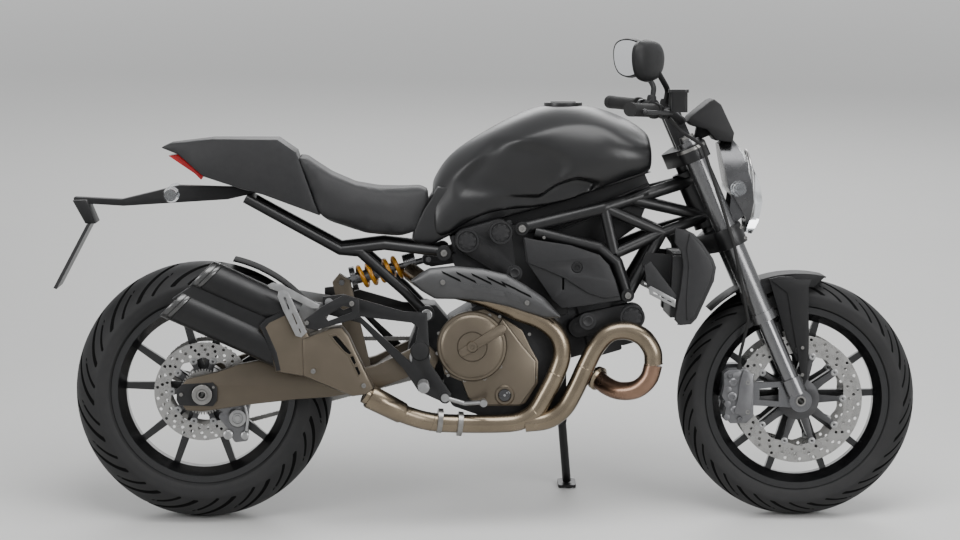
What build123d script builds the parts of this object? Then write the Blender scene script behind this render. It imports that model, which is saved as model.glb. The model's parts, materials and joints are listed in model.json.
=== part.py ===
"""Standard motorcycle: a naked roadster with a V-twin engine in a trellis frame.

The machine is drawn upright, X forward from the rear axle, Y to its left, Z up from the
ground, in millimetres. Every piece is then leaned onto the side stand and moved together.
"""

import os
from math import asin, cos, radians, sin

from build123d import *

os.makedirs("parts", exist_ok=True)

# Tyres and wheels
rear_tyre_radius = 322.0
rear_tyre_width = 180.0
front_tyre_radius = 299.0
front_tyre_width = 120.0
rim_radius = 222.0
rim_flange_height = 8.0
rear_rim_width = 146.0
front_rim_width = 96.0
spoke_pairs = 5
spoke_width = 20.0

# Axles and brakes
axle_diameter = 25.0
axle_bore_diameter = 17.0
shaft_clearance = 0.05
front_axle_half = 134.0
rear_axle_half = 168.0
disc_thickness = 5.0
bobbin_count = 10
front_disc_diameter = 320.0
front_disc_height = 46.0
front_disc_side = 70.0
rear_disc_diameter = 245.0
rear_disc_height = 42.0
rear_disc_side = 74.0

# Chain drive
chain_pitch = 15.875
chain_height = 15.0
chain_width = 18.0
chain_side = 105.0
rear_teeth = 46
front_teeth = 15

# Steering: the legs' line passes through the lower yoke at this place
yoke_x, yoke_z = 1313.0, 708.0
rake_angle = 23.5
fork_offset = 30.0
fork_spacing = 200.0
fork_outer_diameter = 56.0
fork_inner_diameter = 43.0
yoke_spacing = 229.0
lower_yoke_height = 50.0
upper_yoke_height = 40.0
bar_height = 314.0
bar_clamp_diameter = 28.0
bar_diameter = 22.0
grip_diameter = 33.0

# Chassis places, as (forward, up) from the ground below the rear axle
pivot_x, pivot_z = 538.0, 412.0
pivot_diameter = 22.0
crank_x, crank_z = 775.0, 440.0
cylinder_tilt = 16.0
tube_diameter = 32.0
brace_diameter = 28.0
subframe_diameter = 25.0
arm_inner_side = 120.0
arm_thickness = 28.0
shock_rear, shock_front = (345.0, 590.0), (563.0, 648.0)
shock_pin = 14.0
case_half = 132.0
lug_half = 92.0
head_half = 90.0
head_cover_half = 84.0
hanger_side = 152.0
hanger_thickness = 12.0
exhaust_diameter = 48.0
silencer_radius = 44.0
silencer_side = 198.0
cap_x, cap_z, cap_radius = 902.0, 1034.0, 48.0
radiator_half = 160.0

# Side stand and the parked lean
lean_angle = 10.0
stand_x, stand_z, stand_side = 905.0, 240.0, 128.0
stand_splay = 125.0
stand_eye_radius = 15.0
foot_thickness = 8.0

# Clearances
fit_gap = 0.3

# Worked-out places
rake = radians(rake_angle)
lean = radians(lean_angle)
fork_side = fork_spacing / 2
axle_drop = (yoke_z - front_tyre_radius) / cos(rake)
rear_axle = (0.0, rear_tyre_radius)
front_axle = (yoke_x + axle_drop * sin(rake), front_tyre_radius)
pivot = (pivot_x, pivot_z)
crank = (crank_x, crank_z)


def fork(up, ahead=0.0, side=0.0):
    """A point by its distance up the fork legs from the lower yoke and ahead of them."""
    x = yoke_x - up * sin(rake) + ahead * cos(rake)
    z = yoke_z + up * cos(rake) + ahead * sin(rake)
    return Vector(x, side, z)


def fork_plane(up, ahead=0.0, side=0.0):
    """A plane across the fork legs, facing up along them."""
    return Plane(
        origin=fork(up, ahead, side),
        x_dir=Vector(cos(rake), 0, sin(rake)),
        z_dir=Vector(-sin(rake), 0, cos(rake)),
    )


def near(place, outline):
    """An outline in side view given from a place, such as an axle."""
    return [(place[0] + x, place[1] + z) for x, z in outline]


def plate(outline, inner, outer, mode=Mode.ADD, corner=0.0, taper=0.0):
    """A plate with an outline in side view, between two distances right of the midplane."""
    with BuildSketch(Plane.XZ.offset(inner)) as profile:
        with BuildLine():
            Polyline(*outline, close=True)
        make_face()
        if corner:
            fillet(profile.vertices(), corner)
    extrude(profile.sketch, amount=outer - inner, mode=mode, taper=taper)


def disc(place, radius, inner, outer, mode=Mode.ADD, taper=0.0):
    """A round boss or hole across the machine, between two distances right of the midplane."""
    with BuildSketch(Plane.XZ.offset(inner)) as profile:
        with Locations(place):
            Circle(radius)
    extrude(profile.sketch, amount=outer - inner, mode=mode, taper=taper)


def tube(points, diameter, bend=0.0, mode=Mode.ADD):
    """A round tube along straight runs, with bends or, without a radius, with round knuckles."""
    if bend:
        with BuildLine() as route:
            FilletPolyline(*points, radius=bend)
        start = Plane(origin=route.line @ 0, z_dir=route.line % 0)
        with BuildSketch(start) as section:
            Circle(diameter / 2)
        sweep(section.sketch, path=route.line, mode=mode)
        return
    points = [Vector(*point) for point in points]
    for start, end in zip(points, points[1:]):
        with BuildSketch(Plane(origin=start, z_dir=end - start)) as section:
            Circle(diameter / 2)
        extrude(section.sketch, amount=(end - start).length, mode=mode)
    if len(points) > 2:
        with Locations(*points[1:-1]):
            Sphere(diameter / 2, mode=mode)


def shell(stations):
    """A bodywork form through cross-sections with a round flank and a round back.

    Each station is x, then three corners of one side, (y, z), up to the shoulder, and the
    height on the midplane.
    """
    sections = []
    for x, bottom, flank, shoulder, top in stations:
        (by, bz), (fy, fz), (sy, sz) = bottom, flank, shoulder
        with BuildSketch(Plane.YZ.offset(x)) as section:
            with BuildLine():
                Line((-by, bz), (by, bz))
                ThreePointArc((by, bz), (fy, fz), (sy, sz))
                ThreePointArc((sy, sz), (0, top), (-sy, sz))
                ThreePointArc((-sy, sz), (-fy, fz), (-by, bz))
            make_face()
        sections.append(section.sketch)
    loft(sections)


def spokes(centre, count, first, root, tip, root_half, tip_half, inner, outer):
    """Straight arms round a centre in side view, between two radii."""
    middle = Vector(*centre)
    for step in range(count):
        turn = radians(first + step * 360 / count)
        out, across = Vector(cos(turn), sin(turn)), Vector(-sin(turn), cos(turn))
        corners = [
            middle + out * root + across * root_half, middle + out * root - across * root_half,
            middle + out * tip - across * tip_half, middle + out * tip + across * tip_half,
        ]
        plate([(corner.X, corner.Y) for corner in corners], inner, outer)


def finish(piece, label):
    """Lean the piece with the whole machine onto the side stand, name it and write it."""
    stood = piece.part.moved(parked)
    stood.label = label
    export_step(stood, f"parts/{label}.step")


# The whole machine turns about the line under its tyres, until the stand's foot is down
tyre_crown = 96.0
sunk = tyre_crown * (1 - cos(lean))
shift_x, shift_y = -709.5, -204.0
parked = Location((shift_x, shift_y, sunk), (-lean_angle, 0, 0))

# The side stand turns about a bolt square to its leg both down and folded back
floor_normal = Vector(0, -sin(lean), cos(lean))
stand_pivot = Vector(stand_x, stand_side, stand_z)
foot_side = stand_side + stand_splay
ankle_height = foot_thickness + 4
foot_height = (foot_side * sin(lean) - sunk + ankle_height) / cos(lean)
stand_foot = Vector(stand_x + 20, foot_side, foot_height)
stand_leg = (stand_foot - stand_pivot).normalized()
stand_turn = stand_leg.cross(Vector(-0.97, 0.14, -0.05)).normalized()


# --- Wheels -------------------------------------------------------------------------------

def tyre(place, radius, width, rim_width):
    """A road tyre: a crown in bands on an arc, short sidewalls and beads inside the flanges."""
    half, seat = width / 2, rim_radius
    shoulder = radius - width * 0.31
    rise = radius - shoulder
    crown_radius = (half * half + rise * rise) / (2 * rise)
    turns = [asin(half / crown_radius) * band / 2 for band in range(-2, 3)]
    centre = radius - crown_radius
    crown = [(crown_radius * sin(turn), centre + crown_radius * cos(turn)) for turn in turns]
    bead = rim_width / 2 - 5 - fit_gap
    wall = (half * 0.98, (shoulder + seat) / 2)
    plane = Plane(origin=(place[0], 0, place[1]), x_dir=(0, 1, 0), z_dir=(1, 0, 0))
    with BuildSketch(plane) as profile:
        with BuildLine():
            Polyline(
                *crown, wall, (bead, seat + 11), (bead, seat), (-bead, seat),
                (-bead, seat + 11), (-wall[0], wall[1]), close=True,
            )
        make_face()
    revolve(profile.sketch, axis=Axis((place[0], 0, place[1]), (0, 1, 0)))


def wheel(place, width, hub_radius, hub_left, hub_right, spoke_half):
    """A cast wheel: rim, hub and pairs of spokes that part towards the rim."""
    plane = Plane(origin=(place[0], 0, place[1]), x_dir=(0, 1, 0), z_dir=(1, 0, 0))
    half, seat, flange = width / 2, rim_radius, rim_radius + rim_flange_height
    well = seat - 27
    with BuildSketch(plane) as profile:
        with BuildLine():
            Polyline(
                (-half, flange), (-half + 5, flange), (-half + 5, seat), (-half * 0.55, seat),
                (-half * 0.4, well + 13), (half * 0.4, well + 13), (half * 0.55, seat),
                (half - 5, seat), (half - 5, flange), (half, flange), (half, seat - 8),
                (half * 0.35, well), (-half * 0.35, well), (-half, seat - 8), close=True,
            )
        make_face()
    revolve(profile.sketch, axis=Axis((place[0], 0, place[1]), (0, 1, 0)))
    disc(place, hub_radius, -hub_left, hub_right)
    spread = 360 / spoke_pairs * 0.21
    for pair in range(spoke_pairs):
        middle = 90 + pair * 360 / spoke_pairs
        for side in (-1, 1):
            root, tip = radians(middle + side * 10), radians(middle + side * spread)
            start = Vector(cos(root), sin(root)) * (hub_radius - 8)
            end = Vector(cos(tip), sin(tip)) * (well + 4)
            across = Vector(start.Y - end.Y, end.X - start.X).normalized() * spoke_width / 2
            corners = [start + across * 1.2, start - across * 1.2, end - across * 0.8]
            corners.append(end + across * 0.8)
            outline = near(place, [(corner.X, corner.Y) for corner in corners])
            plate(outline, -spoke_half, spoke_half)
    disc(place, axle_diameter / 2, -hub_left, hub_right, Mode.SUBTRACT)


def brake_disc(place, side, diameter, height, hub_radius):
    """A floating brake disc: braking ring, bobbins and the spider that carries them."""
    ring = diameter / 2 - height
    inner, outer = side - disc_thickness / 2, side + disc_thickness / 2
    disc(place, diameter / 2, inner, outer)
    disc(place, ring, inner, outer, Mode.SUBTRACT)
    for step in range(bobbin_count):
        turn = radians((step + 0.5) * 360 / bobbin_count)
        spot = (place[0] + ring * cos(turn), place[1] + ring * sin(turn))
        disc(spot, 9, inner - 1, outer + 1)
    spokes(place, bobbin_count, 180 / bobbin_count, hub_radius - 6, ring - 4, 9, 5, inner, outer)
    disc(place, hub_radius, inner, outer)
    disc(place, axle_diameter / 2 + 10, inner, outer, Mode.SUBTRACT)


with BuildPart() as rear_tyre:
    tyre(rear_axle, rear_tyre_radius, rear_tyre_width, rear_rim_width)
finish(rear_tyre, "rear_tyre")

with BuildPart() as front_tyre:
    tyre(front_axle, front_tyre_radius, front_tyre_width, front_rim_width)
finish(front_tyre, "front_tyre")

with BuildPart() as rear_wheel:
    wheel(rear_axle, rear_rim_width, 52, 62, rear_disc_side - disc_thickness / 2, 14)
finish(rear_wheel, "rear_wheel")

with BuildPart() as front_wheel:
    hub = front_disc_side - disc_thickness / 2
    wheel(front_axle, front_rim_width, 42, hub, hub, 12)
finish(front_wheel, "front_wheel")

with BuildPart() as front_discs:
    brake_disc(front_axle, front_disc_side, front_disc_diameter, front_disc_height, 52)
    mirror(about=Plane.XZ)
finish(front_discs, "front_discs")

with BuildPart() as rear_disc:
    brake_disc(rear_axle, rear_disc_side, rear_disc_diameter, rear_disc_height, 50)
finish(rear_disc, "rear_disc")


# --- Chain drive --------------------------------------------------------------------------

def pitch_radius(teeth):
    """The radius at which a chain's pins lie on a sprocket."""
    return chain_pitch / 2 / sin(radians(180 / teeth))


drive_sprocket = (pivot_x + 78, pivot_z - 12)


def chain_loop(extra):
    """The outline of the chain's run round both sprockets, grown by an amount."""
    with BuildSketch() as loop:
        with Locations(rear_axle):
            Circle(pitch_radius(rear_teeth) + extra)
        with Locations(drive_sprocket):
            Circle(pitch_radius(front_teeth) + extra)
        make_hull()
    return loop.sketch


with BuildPart() as chain:
    with BuildSketch(Plane.XZ.offset(-chain_side - chain_width / 2)) as run:
        add(chain_loop(chain_height / 2))
        add(chain_loop(-chain_height / 2), mode=Mode.SUBTRACT)
    extrude(amount=chain_width)
finish(chain, "chain")

with BuildPart() as rear_sprocket:
    tips = pitch_radius(rear_teeth) - chain_height / 2 - 1
    inner, outer = -chain_side - 4, -chain_side + 4
    with BuildSketch(Plane.XZ.offset(inner)) as ring:
        with Locations(rear_axle):
            Circle(tips - 5)
            with PolarLocations(tips - 5, rear_teeth):
                Rectangle(10, pitch_radius(rear_teeth) * 0.06)
            Circle(tips - 18, mode=Mode.SUBTRACT)
    extrude(amount=outer - inner)
    spokes(rear_axle, 5, 90, 38, tips - 12, 20, 13, inner, outer)
    disc(rear_axle, 54, inner, -62)
    disc(rear_axle, axle_diameter / 2 + 10, inner, -62, Mode.SUBTRACT)
finish(rear_sprocket, "rear_sprocket")


# --- Frame --------------------------------------------------------------------------------

head_low, head_high = 40.0, 188.0
head_diameter = 64.0
bolt_rear, bolt_low = (794.0, 732.0), (1058.0, 564.0)
subframe_bolt_high, subframe_bolt_low = (600.0, 670.0), (557.0, 519.0)

with BuildPart() as trellis_frame:
    rear, bolt = Vector(bolt_rear[0], -122, bolt_rear[1]), Vector(bolt_low[0], -112, bolt_low[1])
    top, low = Vector(1000, -112, 782), Vector(1026, -116, 668)
    neck = Vector(1146, -84, 718)
    head_top, head_foot = fork(head_high - 25, -fork_offset, -18), fork(head_low + 25, -fork_offset, -18)
    tube([rear, top, head_top], tube_diameter)
    tube([rear + Vector(32, 0, -10), low + Vector(-40, 0, 14), low + Vector(4, 0, -22), bolt], tube_diameter)
    tube([top, low], brace_diameter)
    tube([top, neck, low], brace_diameter)
    tube([bolt, neck, head_foot], brace_diameter)
    tube([top + (head_top - top) * 0.3, head_foot], brace_diameter)
    disc(bolt_rear, 17, 100, 140)
    disc(bolt_rear, 11, 140, 146)
    disc(bolt_low, 16, head_cover_half + fit_gap, 130)
    mirror(about=Plane.XZ)
    tube([fork(head_low, -fork_offset), fork(head_high, -fork_offset)], head_diameter)
    for end in (head_low, head_high - 14):
        with BuildSketch(fork_plane(end, -fork_offset)) as bearing_cup:
            Circle(head_diameter / 2 + 4)
        extrude(bearing_cup.sketch, amount=14)
    tube([top, Vector(top.X, -top.Y, top.Z)], brace_diameter)
    with BuildSketch(fork_plane(head_low - 1, -fork_offset)) as bore:
        Circle(21)
    extrude(bore.sketch, amount=head_high - head_low + 2, mode=Mode.SUBTRACT)
finish(trellis_frame, "trellis_frame")

with BuildPart() as tail_subframe:
    tube([(107, -88, 806), (343, -104, 677), (400, -108, 672)], subframe_diameter)
    tube([(343, -104, 677), (452, -110, 690), (600, -112, 672)], subframe_diameter)
    tube([(390, -108, 674), (504, -112, 573), (556, -112, 519)], subframe_diameter)
    disc(subframe_bolt_high, 18, 96, 126)
    disc(subframe_bolt_low, 20, lug_half + fit_gap, 126)
    mirror(about=Plane.XZ)
    tube([(120, -88, 802.9), (120, 88, 802.9)], subframe_diameter - 5)
    tube([(395, -108, 673), (395, 108, 673)], subframe_diameter - 5)
finish(tail_subframe, "tail_subframe")


# --- Engine -------------------------------------------------------------------------------

front_tilt, rear_tilt = cylinder_tilt, cylinder_tilt + 90
case_corner = 18.0


def up_cylinder(tilt, up, across):
    """A place in side view, by its distance up a cylinder from the crankshaft and across it."""
    turn = radians(tilt)
    x = crank_x + up * cos(turn) - across * sin(turn)
    z = crank_z + up * sin(turn) + across * cos(turn)
    return (x, z)


def cylinder(tilt):
    """A barrel, its head and the head's cover, as blocks up from the crankcase."""
    lengths = [(60, 178, 74, 80), (178, 258, 88, head_half), (258, 302, 80, head_cover_half)]
    for foot, crest, half, wide in lengths:
        outline = [
            up_cylinder(tilt, foot, -half), up_cylinder(tilt, crest, -half),
            up_cylinder(tilt, crest, half), up_cylinder(tilt, foot, half),
        ]
        plate(outline, -wide, wide, corner=7)
    for across in (-54, 54):
        disc(up_cylinder(tilt, 262, across), 24, -head_half, head_half)


with BuildPart() as engine_block:
    case = near(crank, [
        (-175, -100), (-155, -150), (-75, -178), (85, -178), (130, -140), (130, -40),
        (105, 80), (25, 105), (-85, 105), (-160, 60), (-175, 28),
    ])
    plate(case, -case_half, case_half, corner=case_corner)
    cylinder(rear_tilt)
    cylinder(front_tilt)
    lug = [(-30, -20), (-8, -40), (82, -67), (82, 78), (42, 126), (2, 126), (-10, 60), (-23, 28)]
    lug = near(pivot, lug)
    plate(lug, -lug_half, lug_half, corner=8)
    sprocket_room = near(pivot, [(2, -82), (134, -82), (134, 68), (2, 68)])
    plate(sprocket_room, -140, -lug_half, Mode.SUBTRACT)
    disc(pivot, pivot_diameter / 2, -lug_half - 1, lug_half + 1, Mode.SUBTRACT)
    ear = near(shock_front, [(-13, -8), (7, -18), (77, -8), (77, 42), (7, 20), (-14, 8)])
    for inner, outer in ((12, 24), (-24, -12)):
        plate(ear, inner, outer)
    disc(shock_front, shock_pin / 2, -25, 25, Mode.SUBTRACT)
    web = near((stand_x, stand_z), [(-55, 30), (-1, 62), (20, 0), (0, -18), (-20, -15)])
    plate(web, -112, -98)
    with BuildSketch(Plane(origin=stand_pivot - stand_turn * 24, z_dir=stand_turn)) as eye:
        Circle(stand_eye_radius)
    extrude(eye.sketch, amount=16 - fit_gap)
finish(engine_block, "engine_block")

with BuildPart() as belt_covers:
    for tilt, foot, wheels in (
        (rear_tilt, (174, -50), [(283, 42, 27), (283, -42, 27)]),
        (front_tilt, (166, -3), [(191, 6, 19), (303, -10, 27)]),
    ):
        with BuildSketch(Plane.XZ.offset(head_half)) as cover:
            with Locations(up_cylinder(tilt, *foot)):
                Circle(26)
            for up, across, radius in wheels:
                with Locations(up_cylinder(tilt, up, across)):
                    Circle(radius + 4)
            make_hull()
        extrude(cover.sketch, amount=20, taper=6)
        for up, across, radius in wheels:
            centre = up_cylinder(tilt, up, across)
            disc(centre, radius, head_half + 20, head_half + 27)
            disc(centre, radius - 6, head_half + 22, head_half + 27, Mode.SUBTRACT)
            spokes(centre, 6, tilt, 4, radius - 5, 3, 3, head_half + 20, head_half + 25)
        disc(up_cylinder(tilt, *foot), 14, head_half + 20, head_half + 24)
finish(belt_covers, "belt_covers")

clutch = (crank_x - 106, crank_z + 2)
clutch_radius = 87.0

with BuildPart() as clutch_cover:
    face = case_half + fit_gap
    outline = near(crank, [
        (-185, -10), (-175, -60), (-111, -130), (-95, -144), (23, -144), (55, -93),
        (55, -37), (25, 10), (15, 40), (-75, 72), (-155, 52),
    ])
    plate(outline, face, face + 18, corner=14)
    lower = near(crank, [(-108, -112), (-90, -138), (20, -138), (48, -92), (48, -40), (8, -20), (-30, -98)])
    plate(lower, face + 18, face + 30, corner=9, taper=12)
    disc(clutch, clutch_radius, face + 18, face + 46, taper=8)
    disc(clutch, clutch_radius - 22, face + 46, face + 52, taper=20)
    disc(clutch, clutch_radius - 46, face + 50, face + 52, Mode.SUBTRACT)
    disc(clutch, 14, face + 50, face + 58)
    spokes(clutch, 1, 31, 12, 84, 10.5, 10.5, face + 40, face + 54)
    disc(near(crank, [(-25, -121)])[0], 23, face + 18, face + 34)
    disc(near(crank, [(-25, -121)])[0], 16, face + 32, face + 34, Mode.SUBTRACT)
    for step in range(9):
        turn = radians(60 + step * 33)
        spot = (clutch[0] + (clutch_radius + 1) * cos(turn), clutch[1] + (clutch_radius + 1) * sin(turn))
        disc(spot, 7, face + 18, face + 26)
finish(clutch_cover, "clutch_cover")

with BuildPart() as left_covers:
    generator = (crank_x, crank_z - 20)
    disc(generator, 100, -case_half - fit_gap, -case_half - 16)
    disc(generator, 90, -case_half - 16, -case_half - 38, taper=8)
    disc(generator, 40, -case_half - 36, -case_half - 48)
    for step in range(8):
        turn = radians(22.5 + step * 45)
        spot = (generator[0] + 94 * cos(turn), generator[1] + 94 * sin(turn))
        disc(spot, 7, -case_half - 16, -case_half - 22)
    outline = near(pivot, [(46, -62), (64, -77), (130, -77), (134, 68), (64, 63), (46, 43)])
    plate(outline, -149, -118, corner=8)
finish(left_covers, "left_covers")


# --- Tank, seat and tail ------------------------------------------------------------------

cap_thickness = 7.0

with BuildPart() as fuel_tank:
    shell([
        (574, (80, 708), (90, 762), (70, 812), 842),
        (650, (104, 739), (106, 812), (96, 884), 936),
        (740, (110, 774), (126, 850), (132, 930), 990),
        (830, (114, 783), (150, 868), (148, 966), 1030),
        (930, (120, 806), (168, 888), (146, 990), 1040),
        (1030, (122, 846), (166, 902), (132, 974), 1014),
        (1118, (100, 874), (126, 906), (98, 940), 958),
    ])
    with BuildSketch(Plane.XY.offset(cap_z)) as filler:
        with Locations((cap_x, 0)):
            Circle(cap_radius + 14)
    extrude(filler.sketch, amount=40, mode=Mode.SUBTRACT)
    knee = [
        (592, 706), (606, 770), (760, 812), (838, 812), (880, 842), (930, 858), (985, 846),
        (930, 790), (760, 760),
    ]
    for side in (-1, 1):
        plate(knee, side * 108, side * 190, Mode.SUBTRACT)
    with BuildSketch(Plane.XY.offset(top.Z + brace_diameter / 2 + fit_gap)) as rest:
        with Locations((top.X, 0)):
            Rectangle(30, 60)
    extrude(rest.sketch, amount=50)
finish(fuel_tank, "fuel_tank")

with BuildPart() as fuel_cap:
    with BuildSketch(Plane.XY.offset(cap_z + fit_gap)) as lid:
        with Locations((cap_x, 0)):
            Circle(cap_radius)
    extrude(lid.sketch, amount=cap_thickness)
    with BuildSketch(Plane.XY.offset(cap_z + fit_gap + cap_thickness)) as flap:
        with Locations((cap_x, 0)):
            Rectangle(64, 30)
    extrude(flap.sketch, amount=3, taper=20)
finish(fuel_cap, "fuel_cap")

seam = [(235, 921), (280, 795), (294, 763)]

with BuildPart() as seat:
    plate([
        seam[0], (272, 893), (320, 862), (380, 836), (441, 826), (510, 826), (566, 831),
        (560, 790), (534, 722), (494, 715), (410, 723), (319, 753), seam[2], seam[1],
    ], -140, 140)
    with BuildSketch(Plane.XY.offset(700)) as plan:
        with BuildLine():
            ThreePointArc((570, -76), (440, -118), (230, -118))
            Line((230, -118), (230, 118))
            ThreePointArc((230, 118), (440, 118), (570, 76))
            Line((570, 76), (570, -76))
        make_face()
    extrude(plan.sketch, amount=260, mode=Mode.INTERSECT)
finish(seat, "seat")

with BuildPart() as tail_cowl:
    plate([
        (-104, 931), (-80, 942), (25, 954), (188, 953), *[(x - fit_gap, z) for x, z in seam],
        (152, 815), (95, 830), (2, 860), (-60, 914),
    ], -140, 140)
    with BuildSketch(Plane.XY.offset(740)) as plan:
        with BuildLine():
            ThreePointArc((310, -118), (100, -106), (-106, -66))
            Line((-106, -66), (-106, 66))
            ThreePointArc((-106, 66), (100, 106), (310, 118))
            Line((310, 118), (310, -118))
        make_face()
    extrude(plan.sketch, amount=260, mode=Mode.INTERSECT)
finish(tail_cowl, "tail_cowl")

with BuildPart() as tail_lamp:
    plate([(-86, 911), (-60, 913.7), (2, 859.7), (-4, 850), (-20, 866)], -62, 62)
finish(tail_lamp, "tail_lamp")

with BuildPart() as plate_holder:
    arm = [
        (140, 818), (60, 800), (-200, 784), (-324, 792), (-324, 806), (-205, 800), (-60, 835),
        (90, 830),
    ]
    plate(arm, -30, 30)
    plate([(-324, 800), (-290, 800), (-266, 742), (-292, 742)], -70, 70)
finish(plate_holder, "plate_holder")

with BuildPart() as number_plate:
    plate([(-278, 741.7), (-287, 741.7), (-371, 583), (-363, 580)], -95, 95)
finish(number_plate, "number_plate")


def indicator(place, inner, outer):
    """A flexible stalk and the lamp at its end, with its lens facing along the machine."""
    disc(place, 6, inner, outer - 44)
    disc(place, 20, outer - 46, outer, taper=6)


with BuildPart() as rear_indicators:
    indicator((-76, 816), 30 + fit_gap, 150)
    mirror(about=Plane.XZ)
finish(rear_indicators, "rear_indicators")

with BuildPart() as side_covers:
    cover_side = 122 + tube_diameter / 2 + fit_gap
    outline = [(795, 700), (830, 690), (1010, 638), (1032, 552), (893, 537), (806, 653)]
    plate(outline, cover_side, 145)
    plate(outline, 145, 151, taper=30)
    plate([(838, 680), (838, 720), (858, 716), (858, 676)], cover_side, 142, corner=5)
    disc((848, 710), 6, 142, 147)
    disc((928, 637), 18, 145, 156)
    plate([(891, 577), (901, 577), (901, 622), (891, 622)], 145, 160, Mode.SUBTRACT)
    shroud = [
        (1176, 729), (1200, 721), (1232, 697), (1268, 644), (1259, 595), (1206, 502), (1174, 508),
        (1196, 640), (1186, 682),
    ]
    plate(shroud, radiator_half + fit_gap, radiator_half + 14)
    plate(shroud, radiator_half + 14, radiator_half + 24, taper=25)
    mirror(about=Plane.XZ)
finish(side_covers, "side_covers")

with BuildPart() as radiator:
    plate([(1172, 668), (1204, 668), (1196, 508), (1164, 508)], -120, 120)
    for side in (-1, 1):
        tank_of_core = [(1168, 664), (1208, 664), (1200, 512), (1160, 512)]
        plate(tank_of_core, side * 120, side * radiator_half, corner=6)
        bracket = [(1175, 664), (1170, 560), (1130, 610), (1092, 642), (1104, 672)]
        plate(bracket, side * 113.4, side * 118)
finish(radiator, "radiator")


# --- Exhaust ------------------------------------------------------------------------------

with BuildPart() as exhaust_headers:
    rear_port, rear_exit = up_cylinder(rear_tilt, 215, 88 + fit_gap), up_cylinder(rear_tilt, 215, 132)
    front_port, front_exit = up_cylinder(front_tilt, 215, -88 - fit_gap), up_cylinder(front_tilt, 215, -132)
    rear_pipe = [
        (rear_port[0], -50, rear_port[1]), (rear_exit[0], -50, rear_exit[1]),
        (556, -110, 592), (590, -158, 590), (790, -164, 530), (893, -165, 474),
        (893, -165, 395), (830, -162, 262),
        (740, -158, 247), (640, -158, 247), (530, -168, 266), (430, -188, 308),
    ]
    tube(rear_pipe, exhaust_diameter, 30)
    front_pipe = [
        (front_port[0], -40, front_port[1]), (front_exit[0], -40, front_exit[1]),
        (1034, -100, 334), (1085, -150, 334), (1130, -159, 396), (1094, -160, 470),
        (1000, -160, 464), (956, -160, 372), (884, -160, 262), (800, -158, 247),
    ]
    tube(front_pipe, exhaust_diameter - 2, 30)
    tube([(606, -160.5, 253), (588, -162.5, 256)], exhaust_diameter + 12)
finish(exhaust_headers, "exhaust_headers")

# The silencer's two barrels lie one above the other and rise to the rear
silencer_rise = radians(24.6)
silencer_foot = Vector(217, -silencer_side, 475)
silencer_way = Vector(-cos(silencer_rise), 0, sin(silencer_rise))
silencer_length = 310.0


def silencer_plane(back):
    """A plane across the silencer, by its distance behind the barrels' front end."""
    return Plane(origin=silencer_foot + silencer_way * back, x_dir=(0, -1, 0), z_dir=silencer_way)


with BuildPart() as silencer:
    spread = silencer_radius + 2
    with BuildSketch(silencer_plane(fit_gap)) as barrels:
        with Locations((0, -spread), (0, spread)):
            Circle(silencer_radius)
        Rectangle(silencer_radius * 1.5, spread * 1.6)
    extrude(barrels.sketch, amount=silencer_length)
    slash = [(60, 683), (-92, 532), (-60, 500), (-60, 380), (-300, 380), (-300, 800), (60, 800)]
    plate(slash, 120, 280, Mode.SUBTRACT)
    with BuildSketch(silencer_plane(silencer_length - 130)) as outlets:
        with Locations((0, -spread), (0, spread)):
            Circle(silencer_radius - 7)
    extrude(outlets.sketch, amount=160, mode=Mode.SUBTRACT)
finish(silencer, "silencer")

with BuildPart() as silencer_front:
    with BuildSketch(silencer_plane(0)) as wide_end:
        RectangleRounded(silencer_radius * 2, silencer_radius * 4 + 4, silencer_radius - 2)
    with BuildSketch(Plane(origin=(402, -192, 326), x_dir=(0, -1, 0), z_dir=silencer_way)) as inlet:
        RectangleRounded(exhaust_diameter + 10, exhaust_diameter + 12, 28)
    loft([wide_end.sketch, inlet.sketch])
finish(silencer_front, "silencer_front")

with BuildPart() as heat_shield:
    outline = [
        (517, 610), (585, 640), (668, 640), (754, 613), (818, 580), (868, 535), (882, 515),
        (835, 513), (754, 544), (670, 565), (571, 581), (524, 609),
    ]
    clear = 164 + exhaust_diameter / 2 + fit_gap
    plate(outline, clear, clear + 4)
    for spot in ((548, 603), (836, 538)):
        disc(spot, 8, clear + 4, clear + 8)
    for x, z in ((596, 622), (640, 626), (684, 619), (726, 607)):
        slot = [(x - 8, z - 7), (x - 2, z - 7), (x + 10, z + 7), (x + 4, z + 7)]
        plate(slot, clear, clear + 4, Mode.SUBTRACT)
finish(heat_shield, "heat_shield")


# --- Rear suspension ----------------------------------------------------------------------

arm_outer_side = arm_inner_side + arm_thickness

with BuildPart() as swingarm:
    rear_end = near(rear_axle, [(42, -32), (-29, -39), (-41, 30), (42, 54)])
    front_end = [
        (139, 401), (200, 374), (318, 346), (420, 378),
        *near(pivot, [(-28, 28), (22, 28), (37, 0), (22, -28)]),
        *near(pivot, [(-18, -28)]), (430, 334), (318, 316), (156, 309),
    ]
    plate(rear_end + front_end, arm_inner_side, arm_outer_side)
    window = [(90, 342), (135, 372), (190, 348), (140, 332)]
    plate(window, arm_inner_side - 1, arm_outer_side + 1, Mode.SUBTRACT)
    disc(pivot, 32, arm_inner_side - 2, arm_outer_side)
    disc(rear_axle, axle_diameter / 2, arm_inner_side - 30, arm_outer_side + 1, Mode.SUBTRACT)
    disc(pivot, pivot_diameter / 2, arm_inner_side - 30, arm_outer_side + 1, Mode.SUBTRACT)
    mirror(about=Plane.XZ)
finish(swingarm, "swingarm")

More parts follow.
